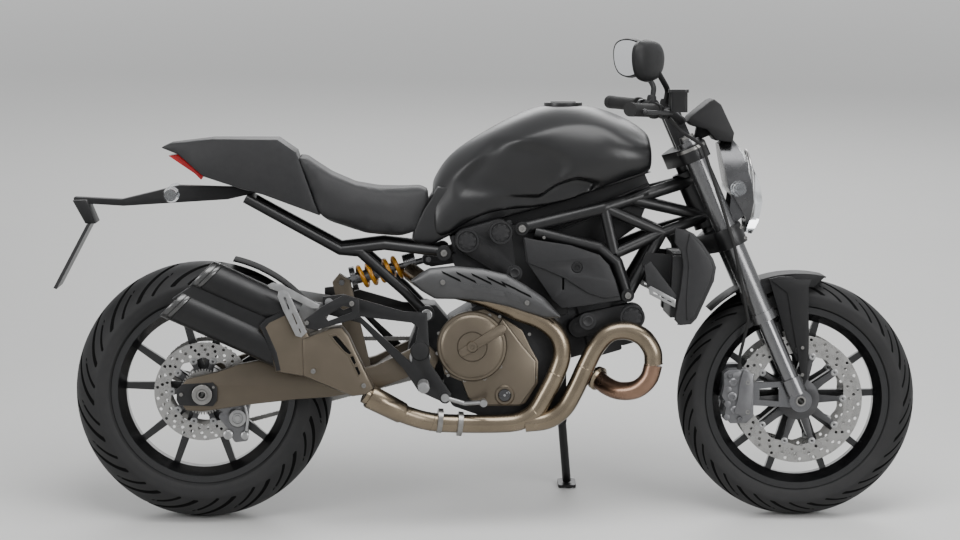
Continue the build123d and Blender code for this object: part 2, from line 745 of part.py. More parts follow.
with BuildPart() as swingarm_bridge:
    bridge = [(372, 352), (430, 374), (470, 400), (470, 362), (430, 338), (372, 326)]
    plate(bridge, fit_gap - arm_inner_side, arm_inner_side - fit_gap)
    strut = [(378, 340), (420, 368), *near(shock_rear, [(21, 6), (-5, 22), (-23, 0)])]
    for inner, outer in ((12, 24), (-24, -12)):
        plate(strut, inner, outer)
    disc(shock_rear, shock_pin / 2, -25, 25, Mode.SUBTRACT)
finish(swingarm_bridge, "swingarm_bridge")

with BuildPart() as swingarm_pivot:
    disc(pivot, pivot_diameter / 2 - shaft_clearance, -arm_outer_side - 3, arm_outer_side + 3)
    for side in (-1, 1):
        disc(pivot, 24, side * (arm_outer_side + fit_gap), side * (arm_outer_side + 3))
finish(swingarm_pivot, "swingarm_pivot")


def axle_shaft(place, half):
    """A hollow wheel axle, run in its bearings."""
    disc(place, axle_diameter / 2 - shaft_clearance, -half, half)
    disc(place, axle_bore_diameter / 2, -half, half, Mode.SUBTRACT)


with BuildPart() as rear_axle_shaft:
    axle_shaft(rear_axle, rear_axle_half)
    for side in (-1, 1):
        near_side, far_side = side * (arm_outer_side + fit_gap), side * (arm_outer_side + 12)
        disc(rear_axle, 24, near_side, far_side)
        disc(rear_axle, axle_bore_diameter / 2, near_side, far_side, Mode.SUBTRACT)
finish(rear_axle_shaft, "rear_axle")

shock_back, shock_fore = Vector(shock_rear[0], 0, shock_rear[1]), Vector(shock_front[0], 0, shock_front[1])
shock_run = shock_fore - shock_back
spring_start, spring_end = 0.17, 0.72
spring_diameter, wire_diameter, spring_coils = 62.0, 11.0, 5

with BuildPart() as shock:
    tube([shock_back, shock_fore], 16)
    tube([shock_back + shock_run * 0.11, shock_back + shock_run * spring_start], spring_diameter)
    tube([shock_back + shock_run * spring_start, shock_back + shock_run * 0.6], 30)
    tube([shock_back + shock_run * spring_end, shock_back + shock_run * 0.86], spring_diameter - 8)
    for place in (shock_rear, shock_front):
        disc(place, 16, -12 + fit_gap, 12 - fit_gap)
        disc(place, shock_pin / 2 - shaft_clearance, -25, 25)
finish(shock, "shock")

with BuildPart() as shock_spring:
    length = shock_run.length * (spring_end - spring_start) - wire_diameter - 2 * fit_gap
    foot = shock_back + shock_run * spring_start + shock_run.normalized() * (wire_diameter / 2 + fit_gap)
    coil_radius = (spring_diameter - wire_diameter) / 2
    with BuildLine() as wire_run:
        Helix(length / spring_coils, length, coil_radius, center=foot, direction=shock_run)
    wire_plane = Plane(origin=wire_run.line @ 0, z_dir=wire_run.line % 0)
    with BuildSketch(wire_plane) as wire_section:
        RegularPolygon(wire_diameter / 2, 8)
    sweep(wire_section.sketch, path=wire_run.line, is_frenet=True)
finish(shock_spring, "shock_spring")

with BuildPart() as rear_caliper:
    block = near(rear_axle, [(36, -60), (60, -90), (78, -126), (112, -122), (114, -32), (75, -22)])
    plate(block, 58, 100, corner=8)
    disc(rear_axle, rear_disc_diameter / 2 + 6, rear_disc_side - 8, rear_disc_side + 8, Mode.SUBTRACT)
    disc(rear_axle, 30, rear_disc_side + 20, arm_inner_side - fit_gap)
    link = near(rear_axle, [(0, -24), (10, 22), (98, -40), (90, -70)])
    plate(link, rear_disc_side + 20, rear_disc_side + 28)
    disc(rear_axle, axle_diameter / 2, rear_disc_side, arm_inner_side, Mode.SUBTRACT)
finish(rear_caliper, "rear_caliper")

hanger_outer = hanger_side + hanger_thickness
rear_peg, rider_peg = (315.0, 552.0), (548.0, 350.0)
lever_pivot = (602.0, 314.0)

with BuildPart() as footrest_plates:
    outline = [
        (300, 565), (350, 571), (500, 528), (558, 525), (565, 400), (618, 322), (606, 298),
        (536, 330), (500, 385), (392, 500), (300, 524),
    ]
    plate(outline, hanger_side, hanger_outer)
    plate([(392, 516), (520, 500), (536, 488), (519, 400)], hanger_side - 2, hanger_outer + 2, Mode.SUBTRACT)
    plate([(330, 548), (352, 556), (372, 540), (350, 532)], hanger_side - 2, hanger_outer + 2, Mode.SUBTRACT)
    disc((540, 430), 24, hanger_outer, hanger_outer + 5, taper=20)
    disc(lever_pivot, 15, hanger_outer, hanger_outer + 4)
    mirror(about=Plane.XZ)
finish(footrest_plates, "footrest_plates")

with BuildPart() as footpegs:
    disc(rider_peg, 10, hanger_outer + fit_gap, hanger_outer + 40)
    for rib in range(7):
        disc(rider_peg, 14, hanger_outer + 34 + rib * 13, hanger_outer + 43 + rib * 13)
    disc(rider_peg, 11, hanger_outer + 34, hanger_outer + 126)
    disc(rear_peg, 10, hanger_outer + fit_gap, hanger_outer + 16)
    heel = [(214, 548), (232, 560), (316, 546), (316, 522), (300, 492), (262, 462), (246, 474)]
    plate(heel, hanger_side - 5.3, hanger_side - fit_gap, corner=5)
    disc((250, 480), 8, hanger_side - fit_gap, 154.5)
    mirror(about=Plane.XZ)
finish(footpegs, "footpegs")

with BuildPart() as foot_controls:
    for side, reach in ((-1, 92), (1, 116)):
        start, stop = hanger_outer + 4 + fit_gap, hanger_outer + 16
        disc(lever_pivot, 10, -side * start, -side * stop)
        arm_side = side * (hanger_outer + 10)
        toe = [(604, arm_side, 314), (604 + reach / 2, arm_side, 300), (604 + reach, side * 205, 306)]
        tube(toe, 12, 10)
        tube([(604 + reach, side * 196, 306), (604 + reach, side * 236, 306)], 18)
finish(foot_controls, "foot_controls")

with BuildPart() as side_stand:
    with BuildSketch(Plane(origin=stand_pivot - stand_turn * 8, z_dir=stand_turn)) as eye:
        Circle(stand_eye_radius)
    extrude(eye.sketch, amount=16)
    tube([stand_pivot + stand_leg * 12, stand_pivot + stand_leg * 28], 14)
    tube([stand_pivot + stand_leg * 26, stand_foot], 22)
    floor = Plane(origin=stand_foot - floor_normal * ankle_height, z_dir=floor_normal)
    with BuildSketch(floor) as pad:
        RectangleRounded(64, 46, 10)
    extrude(pad.sketch, amount=foot_thickness)
finish(side_stand, "side_stand")

hugger_gap, hugger_thickness = 12.0, 4.0

with BuildPart() as hugger:
    guard = rear_tyre_radius + hugger_gap
    with BuildSketch(Plane.XZ.offset(-80)) as arc:
        with Locations(rear_axle):
            Circle(guard + hugger_thickness)
            Circle(guard, mode=Mode.SUBTRACT)
        with BuildLine():
            wide, high = guard * 1.2, guard * 1.3
            wedge = [(0, 0), (wide, guard * 0.5), (wide, high), (guard * 0.3, high)]
            Polyline(*near(rear_axle, wedge), close=True)
        make_face(mode=Mode.INTERSECT)
    extrude(arc.sketch, amount=160)
    for side in (-1, 1):
        leg = near(rear_axle, [(296, 150), (310, 134), (324, 12), (303, 8), (300, 78)])
        plate(leg, side * 76, side * 80)
        disc(near(rear_axle, [(312, 12)])[0], 9, side * 76, side * (arm_inner_side - fit_gap))
finish(hugger, "hugger")


# --- Steering -----------------------------------------------------------------------------

outer_low, outer_high = -229.0, 260.0
outer_collar = 24.0
axle_lug_radius = 28.0

with BuildPart() as fork_outers:
    for side in (-fork_side, fork_side):
        for start, length, radius in (
            (outer_low, outer_high - outer_low, fork_outer_diameter / 2),
            (outer_low, outer_collar, fork_outer_diameter / 2 + 3),
            (outer_high, 8, 20),
        ):
            with BuildSketch(fork_plane(start, 0, side)) as leg:
                Circle(radius)
            extrude(leg.sketch, amount=length)
finish(fork_outers, "fork_outers")

with BuildPart() as fork_inners:
    for side in (-fork_side, fork_side):
        with BuildSketch(fork_plane(-axle_drop + 20, 0, side)) as leg:
            Circle(fork_inner_diameter / 2)
        extrude(leg.sketch, amount=outer_low + axle_drop - 20)
        with BuildSketch(fork_plane(-axle_drop + 16, 0, side * 1.07)) as foot:
            Circle(fork_inner_diameter / 2 + 5)
        extrude(foot.sketch, amount=44)
    lug_inner = front_disc_side + 10
    for inner, outer in ((lug_inner, 130), (-130, -lug_inner)):
        disc(front_axle, axle_lug_radius, inner, outer)
    arm = near(front_axle, [(-118 + fit_gap, 44), (-11, 46), (-11, -20), (-118 + fit_gap, -14)])
    for inner, outer in ((lug_inner, 96), (-96, -lug_inner)):
        plate(arm, inner, outer)
        plate(near(front_axle, [(-100, 28), (-52, 32), (-52, -4), (-100, 0)]), inner, outer, Mode.SUBTRACT)
    disc(front_axle, axle_diameter / 2, -140, 140, Mode.SUBTRACT)
finish(fork_inners, "fork_inners")

with BuildPart() as yokes:
    for middle, band in ((0, lower_yoke_height), (yoke_spacing, upper_yoke_height)):
        with BuildSketch(fork_plane(middle - band / 2)) as yoke:
            for side in (-fork_side, fork_side):
                with Locations((0, side)):
                    Circle(fork_outer_diameter / 2 + 11)
            with Locations((-fork_offset, 0)):
                Circle(40)
            make_hull()
            for side in (-fork_side, fork_side):
                with Locations((0, side)):
                    Circle(fork_outer_diameter / 2, mode=Mode.SUBTRACT)
            with Locations((4, -45), (4, 45)):
                Rectangle(26, 34, mode=Mode.SUBTRACT)
        extrude(yoke.sketch, amount=band)
    with BuildSketch(fork_plane(0, -fork_offset)) as stem:
        Circle(20)
    extrude(stem.sketch, amount=yoke_spacing)
    with BuildSketch(fork_plane(yoke_spacing + upper_yoke_height / 2 - 2, -8)) as risers:
        for side in (-45, 45):
            with Locations((0, side)):
                Rectangle(44, 30)
    extrude(risers.sketch, amount=bar_height - yoke_spacing + 2)
    clamp = bar_clamp_diameter + 2 * fit_gap
    tube([fork(bar_height, 2, -95), fork(bar_height, 2, 95)], clamp, mode=Mode.SUBTRACT)
finish(yokes, "yokes")

bar_bend, bar_end = fork(bar_height + 40, -20, -200), fork(bar_height + 87, -108, -385)
bar_run = (bar_end - bar_bend).normalized()
bar_straight = (bar_end - bar_bend).length

with BuildPart() as handlebar:
    tube([fork(bar_height, 2, -90), fork(bar_height, 2, 90)], bar_clamp_diameter)
    right = [fork(bar_height, 2, -60), fork(bar_height + 2, 2, -110), bar_bend, bar_end]
    tube(right, bar_diameter, 40)
    mirror(about=Plane.XZ)
finish(handlebar, "handlebar")

with BuildPart() as grips:
    inner_end = bar_end - bar_run * 120
    tube([inner_end, bar_end], grip_diameter)
    tube([inner_end - bar_run * 4, inner_end + bar_run * 4], grip_diameter + 8)
    tube([bar_bend, bar_end], bar_diameter + 2 * fit_gap, mode=Mode.SUBTRACT)
    tube([bar_end + bar_run * fit_gap, bar_end + bar_run * 22], grip_diameter + 1)
    mirror(about=Plane.XZ)
finish(grips, "grips")

with BuildPart() as mirrors:
    perch = bar_bend + bar_run * 28
    tube([perch - bar_run * 9, perch + bar_run * 9], bar_diameter + 12)
    tube([perch - bar_run * 20, perch + bar_run * 20], bar_diameter + 2 * fit_gap, mode=Mode.SUBTRACT)
    back = perch.X - 62
    with BuildSketch(Plane.YZ.offset(back)) as glass_side:
        with Locations((perch.Y - 118, perch.Z + 122)):
            Ellipse(82, 50)
    extrude(glass_side.sketch, amount=32)
    chamfer(mirrors.edges().filter_by(GeomType.ELLIPSE).sort_by(Axis.X)[-1], 16)
    stalk_bend, stalk_end = perch + Vector(-14, -40, 66), (back + 20, perch.Y - 96, perch.Z + 100)
    tube([perch + Vector(0, 0, 16), stalk_bend, stalk_end], 11)
    mirror(about=Plane.XZ)
finish(mirrors, "mirrors")

with BuildPart() as bar_controls:
    seat_on_bar = bar_bend + bar_run * 62
    tube([seat_on_bar, seat_on_bar + bar_run * 14], bar_diameter + 12)
    pivot_of_lever = seat_on_bar + bar_run * 7 + Vector(34, 0, -6)
    tube([seat_on_bar + bar_run * 7 + Vector(8, 0, 0), pivot_of_lever], 18)
    lever_bend = pivot_of_lever + bar_run * 60 + Vector(14, 0, -2)
    lever = [pivot_of_lever, lever_bend, pivot_of_lever + bar_run * 158]
    tube(lever, 11, 60)
    with Locations(pivot_of_lever + bar_run * 158):
        Sphere(8)
    bar_bore = [bar_bend, bar_end]
    tube(bar_bore, bar_diameter + 2 * fit_gap, mode=Mode.SUBTRACT)
    mirror(about=Plane.XZ)
    cup = seat_on_bar + bar_run * 7 + Vector(51, 3, 18)
    tube([seat_on_bar + bar_run * 7 + Vector(19, 0, 2), cup + Vector(0, 0, -14)], 14)
    with BuildSketch(Plane.XY.offset(cup.Z - 22)) as reservoir:
        with Locations((cup.X, cup.Y)):
            RectangleRounded(44, 40, 9)
    extrude(reservoir.sketch, amount=48)
    with BuildSketch(Plane.XY.offset(cup.Z + 26)) as lid_of_reservoir:
        with Locations((cup.X, cup.Y)):
            RectangleRounded(50, 46, 11)
    extrude(lid_of_reservoir.sketch, amount=8)
finish(bar_controls, "bar_controls")

lower_yoke = (yoke_x, yoke_z)
lamp_half = 90.0

with BuildPart() as instrument:
    housing = near(lower_yoke, [(-94, 335), (-29, 338), (-12, 326), (-2, 292), (-23, 277), (-78, 292)])
    plate(housing, -70, 70, corner=6)
    bracket = near(lower_yoke, [(-88, 233.8), (-63, 244.7), (-49, 288), (-73, 294)])
    plate(bracket, -20, 20)
finish(instrument, "instrument")


def lamp_form(outline):
    """A slice of the headlight: an outline in side view within the round front view."""
    plate(near(lower_yoke, outline), -lamp_half, lamp_half)
    with BuildSketch(Plane.YZ.offset(lower_yoke[0] - 60)) as front_view:
        with Locations((0, lower_yoke[1] + 122)):
            Ellipse(lamp_half, 126)
    extrude(front_view.sketch, amount=180, mode=Mode.INTERSECT)


with BuildPart() as headlight:
    lamp_form([
        (-23, 230), (-1, 244), (14, 240), (36, 202), (58, 132), (62, 87), (56, 48), (45, 8),
        (45, 44), (-1, 122),
    ])
    rear_foot = fork(lower_yoke_height / 2 + fit_gap, 8)
    front_foot = fork(lower_yoke_height / 2 + fit_gap, 36)
    stay = [(rear_foot.X, rear_foot.Z), (front_foot.X, front_foot.Z)]
    stay += near(lower_yoke, [(49, 62), (12, 132)])
    for side in (-1, 1):
        plate(stay, side * 62, side * 70)
finish(headlight, "headlight")

with BuildPart() as headlight_lens:
    lamp_form([
        (14 + fit_gap, 240), (46, 200), (76, 137), (84, 87), (76, 37), (62, 4), (45 + fit_gap, 8),
        (56 + fit_gap, 48), (62 + fit_gap, 87), (58 + fit_gap, 132), (36 + fit_gap, 202),
    ])
finish(headlight_lens, "headlight_lens")

with BuildPart() as front_indicators:
    indicator(near(lower_yoke, [(20, 122)])[0], lamp_half + fit_gap, 172)
    mirror(about=Plane.XZ)
finish(front_indicators, "front_indicators")

fender_gap, fender_thickness, fender_half = 12.0, 4.0, 68.0

with BuildPart() as front_fender:
    guard = front_tyre_radius + fender_gap
    with BuildSketch(Plane.XZ.offset(-fender_half)) as arc:
        with Locations(front_axle):
            Circle(guard + fender_thickness)
            Circle(guard, mode=Mode.SUBTRACT)
        with BuildLine():
            high = guard * 1.25
            wedge = [(0, 0), (guard * 0.28, high), (-guard * 0.9, high), (-guard * 1.2, guard * 1.2)]
            Polyline(*near(front_axle, wedge), close=True)
        make_face(mode=Mode.INTERSECT)
    extrude(arc.sketch, amount=2 * fender_half)
    for side in (-1, 1):
        skirt = [
            (-151, 275), (-100, 297), (0, guard + 2), (66, guard - 5), (40, 282), (-70, 268),
            (-140, 236),
        ]
        skirt = near(front_axle, skirt)
        plate(skirt, side * (fender_half - 4), side * fender_half)
        blade = [
            (-70, guard - 12), (30, guard - 10), (23, 284), (23, 152), (20, 50), (8.8, 26.9),
            (4, 66), (-10, 152), (-30, 268),
        ]
        blade = near(front_axle, blade)
        plate(blade, side * 84, side * 88)
        bridge = near(front_axle, [(-50, 292), (20, 292), (20, 300), (-50, 300)])
        plate(bridge, side * (fender_half - 4), side * 88)
finish(front_fender, "front_fender")

with BuildPart() as front_calipers:
    block = near(front_axle, [
        (-188, 72), (-134, 76), (-118, 60), (-118, -40), (-134, -58), (-176, -58), (-196, -24), (-197, 40),
    ])
    plate(block, 55, 100, corner=10)
    for x, z in ((-156, 34), (-156, -20)):
        disc(near(front_axle, [(x, z)])[0], 21, 100, 106, taper=15)
    disc(front_axle, front_disc_diameter / 2 + 6, front_disc_side - 8, front_disc_side + 8, Mode.SUBTRACT)
    plate(near(front_axle, [(-210, 18), (-160, 12), (-160, 2), (-210, -4)]), 80, 108, Mode.SUBTRACT)
    mirror(about=Plane.XZ)
finish(front_calipers, "front_calipers")

with BuildPart() as front_axle_shaft:
    axle_shaft(front_axle, front_axle_half)
finish(front_axle_shaft, "front_axle")

hose_diameter = 8.0

with BuildPart() as brake_hoses:
    caliper_port = Vector(front_axle[0] - 150, -92, front_axle[1] + 76)
    low_run = fork(outer_low + 20, -fork_outer_diameter / 2 - 12, -fork_side - 24)
    beside_leg = -fork_side - fork_outer_diameter / 2 - 22
    high_run, crossing = fork(-20, 0, beside_leg), fork(yoke_spacing + 10, 26, beside_leg)
    master = bar_bend + bar_run * 69 + Vector(20, 0, -12)
    route = [
        caliper_port, caliper_port + Vector(0, -4, 34), low_run, high_run, crossing,
        master + Vector(40, 30, -40), master + Vector(8, 6, -6),
    ]
    tube([(point.X, point.Y, point.Z) for point in route], hose_diameter, 16)
    tube([caliper_port + Vector(0, 0, fit_gap), caliper_port + Vector(0, 0, 14)], 13)
finish(brake_hoses, "brake_hoses")
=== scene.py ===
import json
import math
from contextlib import contextmanager

import bmesh
import bpy
from mathutils import Matrix, Vector


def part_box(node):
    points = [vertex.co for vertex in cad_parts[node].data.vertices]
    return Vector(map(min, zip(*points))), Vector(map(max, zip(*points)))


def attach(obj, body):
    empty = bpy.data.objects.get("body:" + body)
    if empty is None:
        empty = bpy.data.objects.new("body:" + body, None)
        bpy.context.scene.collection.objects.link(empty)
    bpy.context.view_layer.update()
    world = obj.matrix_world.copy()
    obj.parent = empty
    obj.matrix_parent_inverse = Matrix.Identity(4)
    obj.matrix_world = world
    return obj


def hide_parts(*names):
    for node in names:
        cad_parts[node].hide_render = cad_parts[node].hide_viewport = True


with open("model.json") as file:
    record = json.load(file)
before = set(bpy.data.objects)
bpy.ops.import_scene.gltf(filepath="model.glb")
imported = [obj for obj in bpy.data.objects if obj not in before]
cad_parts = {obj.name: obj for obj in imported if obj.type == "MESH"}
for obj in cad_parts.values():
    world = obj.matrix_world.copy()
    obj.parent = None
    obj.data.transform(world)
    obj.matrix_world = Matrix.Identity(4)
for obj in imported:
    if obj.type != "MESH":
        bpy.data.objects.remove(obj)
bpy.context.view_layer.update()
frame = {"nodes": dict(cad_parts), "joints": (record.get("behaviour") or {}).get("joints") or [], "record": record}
joints = {joint["name"]: joint for joint in frame["joints"]}

# Places are in millimetres on the upright machine: forward from the rear axle, to its left
# and up from the ground. The parked machine leans, so they are turned onto its own axes.
forward = Vector((1, 0, 0))
sideways = Vector(joints["rear_wheel_spin"]["axis"])
upright = forward.cross(sideways)
rearAxleSpot = Vector(joints["rear_wheel_spin"]["pos_m"])
frontAxleSpot = Vector(joints["front_wheel_spin"]["pos_m"])
steerAxis = Vector(joints["steering"]["axis"])


def halfLength(node):  # half of a node's length along the machine, in mm
    low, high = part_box(node)
    return (high.x - low.x) * 500


wheels = {
    "rearRadius": halfLength("rear_tyre"), "frontRadius": halfLength("front_tyre"),
    "rearWidth": 180, "frontWidth": 120, "rimRadius": 222, "rearRim": 146, "frontRim": 96,
}
groundSpot = rearAxleSpot - upright * wheels["rearRadius"] / 1000
toWorld = Matrix((forward / 1000, sideways / 1000, upright / 1000)).transposed().to_4x4()
toWorld.translation = groundSpot
rearAxle = (0, wheels["rearRadius"])
frontAxle = ((frontAxleSpot - groundSpot).dot(forward) * 1000, wheels["frontRadius"])
rake = math.atan2(-steerAxis.dot(forward), steerAxis.dot(upright))
yokeSpot = toWorld.inverted() @ Vector(joints["steering"]["pos_m"])


def onFork(up, ahead=0, side=0):  # up the fork legs from the lower yoke, and ahead of them
    head = {"up": 114, "behind": 30}  # the steering joint's place on the same axes
    up, ahead = up - head["up"], ahead + head["behind"]
    x = yokeSpot.x - up * math.sin(rake) + ahead * math.cos(rake)
    z = yokeSpot.z + up * math.cos(rake) + ahead * math.sin(rake)
    return Vector((x, side, z))


# Surfaces

def added(tree, kind, **values):  # a new node, with its settings and the values on its sockets
    node = tree.nodes.new(kind)
    for label, value in values.items():
        if label in node.inputs:
            node.inputs[label].default_value = value
        else:
            setattr(node, label, value)
    return node


def wire(tree, *runs):  # each run is (node, its output, node, its input)
    for start, given, end, taken in runs:
        tree.links.new(start.outputs[given], end.inputs[taken])


def newGroup(name, inputs, outputs):  # the inputs' values by label, with None for a vector
    group = bpy.data.node_groups.new(name, "ShaderNodeTree")
    for label, value in inputs.items():
        kind = "NodeSocketVector" if value is None else "NodeSocketFloat"
        socket = group.interface.new_socket(name=label, in_out="INPUT", socket_type=kind)
        if value is not None:
            socket.default_value = value
    for label in outputs:
        group.interface.new_socket(name=label, in_out="OUTPUT", socket_type="NodeSocketFloat")
    return group, group.nodes.new("NodeGroupInput"), group.nodes.new("NodeGroupOutput")


def buildGrainGroup():  # an uneven tone and the fine height that goes with it
    group, given, result = newGroup("surfaceGrain", {"Vector": None, "Scale": 40.0, "Fine": 12.0},
                                    ["Tone", "Height"])
    broad = added(group, "ShaderNodeTexNoise", Detail=4)
    fine = added(group, "ShaderNodeTexNoise", Detail=2)
    fineScale = added(group, "ShaderNodeMath", operation="MULTIPLY")
    wire(group, (given, "Vector", broad, "Vector"), (given, "Vector", fine, "Vector"),
         (given, "Scale", broad, "Scale"), (given, "Scale", fineScale, 0), (given, "Fine", fineScale, 1),
         (fineScale, 0, fine, "Scale"), (broad, "Fac", result, "Tone"), (fine, "Fac", result, "Height"))
    return group


def buildDustGroup():  # dust and wear in patches, as a mask
    group, given, result = newGroup("dustPatches", {"Vector": None, "Scale": 18.0, "Amount": 0.3}, ["Mask"])
    patches = added(group, "ShaderNodeTexNoise", Detail=8, Roughness=0.7)
    spread = added(group, "ShaderNodeMapRange", **{"From Min": 0.45, "From Max": 0.75})
    wire(group, (given, "Vector", patches, "Vector"), (given, "Scale", patches, "Scale"),
         (patches, "Fac", spread, "Value"), (given, "Amount", spread, "To Max"),
         (spread, "Result", result, "Mask"))
    return group


grainGroup, dustGroup = buildGrainGroup(), buildDustGroup()
dustColour = (0.16, 0.15, 0.135, 1)


def surface(name, colour, rough, metal=0.0, grain=30, fine=14, bump=0.1, vary=0.25, dust=0.12, coat=0.0,
            coatRough=0.2, brushed=None, sheen=0.0, depth=0.0006, shine=0.5):
    material = bpy.data.materials.new(name)
    material.use_nodes = True
    tree = material.node_tree
    shader, place = tree.nodes["Principled BSDF"], added(tree, "ShaderNodeTexCoord")
    tone = added(tree, "ShaderNodeGroup", node_tree=grainGroup, Scale=grain, Fine=fine)
    dusty = added(tree, "ShaderNodeGroup", node_tree=dustGroup, Amount=dust)
    dark, pale = [[min(1, channel * (1 + change)) for channel in colour] for change in (-vary, vary)]
    base = added(tree, "ShaderNodeMix", data_type="RGBA", A=(*dark, 1), B=(*pale, 1))
    soiled = added(tree, "ShaderNodeMix", data_type="RGBA", B=dustColour)
    polish = added(tree, "ShaderNodeMapRange",
                   **{"To Min": max(0.03, rough - 0.08), "To Max": min(1, rough + 0.1)})
    relief = added(tree, "ShaderNodeBump", Strength=bump, Distance=depth)
    if brushed:  # grain drawn out along one of the machine's axes
        stretch = added(tree, "ShaderNodeMapping", Scale=brushed)
        wire(tree, (place, "Object", stretch, "Vector"), (stretch, "Vector", tone, "Vector"))
    else:
        wire(tree, (place, "Object", tone, "Vector"))
    wire(tree, (place, "Object", dusty, "Vector"), (tone, "Tone", base, "Factor"),
         (dusty, "Mask", soiled, "Factor"), (base, "Result", soiled, "A"),
         (soiled, "Result", shader, "Base Color"), (tone, "Tone", polish, "Value"),
         (polish, "Result", shader, "Roughness"), (tone, "Height", relief, "Height"),
         (relief, "Normal", shader, "Normal"))
    for label, value in (("Metallic", metal), ("Coat Weight", coat), ("Coat Roughness", coatRough),
                         ("Sheen Weight", sheen), ("Specular IOR Level", shine)):
        shader.inputs[label].default_value = value
    return material


def glass(name, colour, rough=0.03, alpha=0.25):
    material = surface(name, colour, rough, grain=60, bump=0.0, vary=0.03, dust=0.0)
    shader = material.node_tree.nodes["Principled BSDF"]
    shader.inputs["Transmission Weight"].default_value = 1 - alpha
    shader.inputs["IOR"].default_value = 1.45
    return material


finishes = {
    "frame_black": surface("frameBlack", (0.007, 0.007, 0.0075), 0.34, metal=0.05, grain=70, bump=0.15,
        dust=0.02, shine=0.4),
    "tank_black": surface("tankBlack", (0.005, 0.005, 0.0055), 0.34, grain=9, fine=160, bump=0.03,
        vary=0.08, dust=0.008, coat=0.12, coatRough=0.3, shine=0.45),
    "engine_grey": surface("engineGrey", (0.022, 0.022, 0.023), 0.44, metal=0.45, grain=45, fine=22,
        bump=0.4, dust=0.04, depth=0.001, shine=0.3),
    "cover_bronze": surface("coverBronze", (0.125, 0.104, 0.078), 0.34, metal=0.8, grain=24, fine=40,
        bump=0.18, vary=0.1, dust=0.015),
    "wheel_black": surface("wheelBlack", (0.005, 0.005, 0.0055), 0.22, metal=0.1, grain=40, bump=0.02,
        dust=0.0, coat=0.3),
    "tyre": surface("tyreRubber", (0.017, 0.017, 0.0175), 0.58, grain=50, fine=20, bump=0.25, vary=0.2,
        dust=0.03, shine=0.25),
    "disc_steel": surface("discSteel", (0.33, 0.325, 0.315), 0.27, metal=0.95, grain=60, bump=0.15,
        vary=0.2, dust=0.05),
    "bare_steel": surface("bareSteel", (0.24, 0.235, 0.225), 0.32, metal=0.95, grain=60, bump=0.2,
        dust=0.08),
    "fork_grey": surface("forkGrey", (0.15, 0.15, 0.153), 0.28, metal=0.92, grain=60, bump=0.08, vary=0.1,
        dust=0.03, brushed=(9, 9, 0.5)),
    "fork_chrome": surface("forkChrome", (0.16, 0.16, 0.165), 0.2, metal=0.95, grain=60, bump=0.03,
        vary=0.06, dust=0.03),
    "alloy": surface("plainAlloy", (0.3, 0.3, 0.3), 0.33, metal=0.92, grain=55, bump=0.22, dust=0.06),
    "swingarm_bronze": surface("swingarmBronze", (0.1, 0.083, 0.062), 0.38, metal=0.7, grain=24, fine=40,
        bump=0.15, vary=0.1, dust=0.015),
    "header_steel": surface("headerSteel", (0.2, 0.163, 0.118), 0.24, metal=0.97, grain=14, fine=60,
        bump=0.06, vary=0.45, dust=0.02),
    "silencer_black": surface("silencerBlack", (0.007, 0.007, 0.0075), 0.36, metal=0.2, grain=35,
        bump=0.12, dust=0.02, shine=0.4),
    "plastic_black": surface("plasticBlack", (0.009, 0.009, 0.0095), 0.5, grain=90, fine=10, bump=0.25,
        dust=0.015, shine=0.25),
    "plastic_grey": surface("plasticGrey", (0.018, 0.018, 0.019), 0.46, grain=80, fine=10, bump=0.22,
        dust=0.02, shine=0.3),
    "seat_vinyl": surface("seatVinyl", (0.018, 0.018, 0.019), 0.55, grain=160, fine=9, bump=0.5, vary=0.2,
        dust=0.02, sheen=0.04, shine=0.3),
    "lens_red": glass("lensRed", (0.55, 0.012, 0.015), alpha=0.75),
    "lens_clear": glass("lensClear", (0.9, 0.92, 0.94), rough=0.02, alpha=0.04),
    "screen": surface("screenBlack", (0.012, 0.012, 0.014), 0.15, grain=40, bump=0.02, dust=0.02,
        coat=0.6, coatRough=0.08),
    "rubber": surface("gripRubber", (0.014, 0.014, 0.014), 0.66, grain=120, bump=0.4, dust=0.03,
        shine=0.25),
    "plate_black": surface("plateBlack", (0.02, 0.02, 0.021), 0.4, grain=40, bump=0.1, dust=0.03,
        shine=0.3),
    "spring_yellow": surface("springYellow", (0.62, 0.27, 0.012), 0.36, metal=0.1, grain=40, bump=0.15,
        dust=0.04, coat=0.3),
    "calliper_grey": surface("calliperGrey", (0.14, 0.14, 0.145), 0.36, metal=0.85, grain=50, bump=0.3,
        dust=0.05),
    "mirror_glass": surface("mirrorGlass", (0.75, 0.76, 0.78), 0.06, metal=1.0, grain=30, bump=0.01,
        vary=0.02, dust=0.01),
}
# near-black painted shade, put in the tyre grooves, the cover's vents, the shield's louvres and inside the
# silencer barrels
paintedShade = surface("paintedShade", (0.002, 0.002, 0.002), 0.85, dust=0.0, shine=0.1)
discDark = surface("discCarrier", (0.05, 0.05, 0.052), 0.4, metal=0.6, bump=0.2)
dullBlack = surface("dullBlack", (0.004, 0.004, 0.004), 0.7, bump=0.1, dust=0.01, shine=0.1)
tipSilver = surface("tipSilver", (0.45, 0.44, 0.43), 0.3, metal=0.95, bump=0.1)
tipDark = surface("tipDark", (0.1, 0.1, 0.1), 0.26, metal=0.95, bump=0.08)
lampShell = surface("lampShell", (0.09, 0.09, 0.093), 0.26, metal=0.92, bump=0.04, dust=0.01)
slotOf = {part["node"]: part["material_slot"] for part in frame["record"]["subparts"]}
for name, node in frame["nodes"].items():
    node.data.materials.clear()
    node.data.materials.append(finishes.get(slotOf.get(name), finishes["frame_black"]))
frame["nodes"]["headlight"].data.materials[0] = lampShell
print("materials placed on", len(frame["nodes"]), "nodes")


# Pieces

def linked(name, data):  # a new object in the scene
    holder = bpy.data.objects.new(name, data)
    bpy.context.scene.collection.objects.link(holder)
    return holder


def meshOf(holder):  # the mesh that an object's curve or modifiers make
    return bpy.data.meshes.new_from_object(holder.evaluated_get(bpy.context.evaluated_depsgraph_get()))


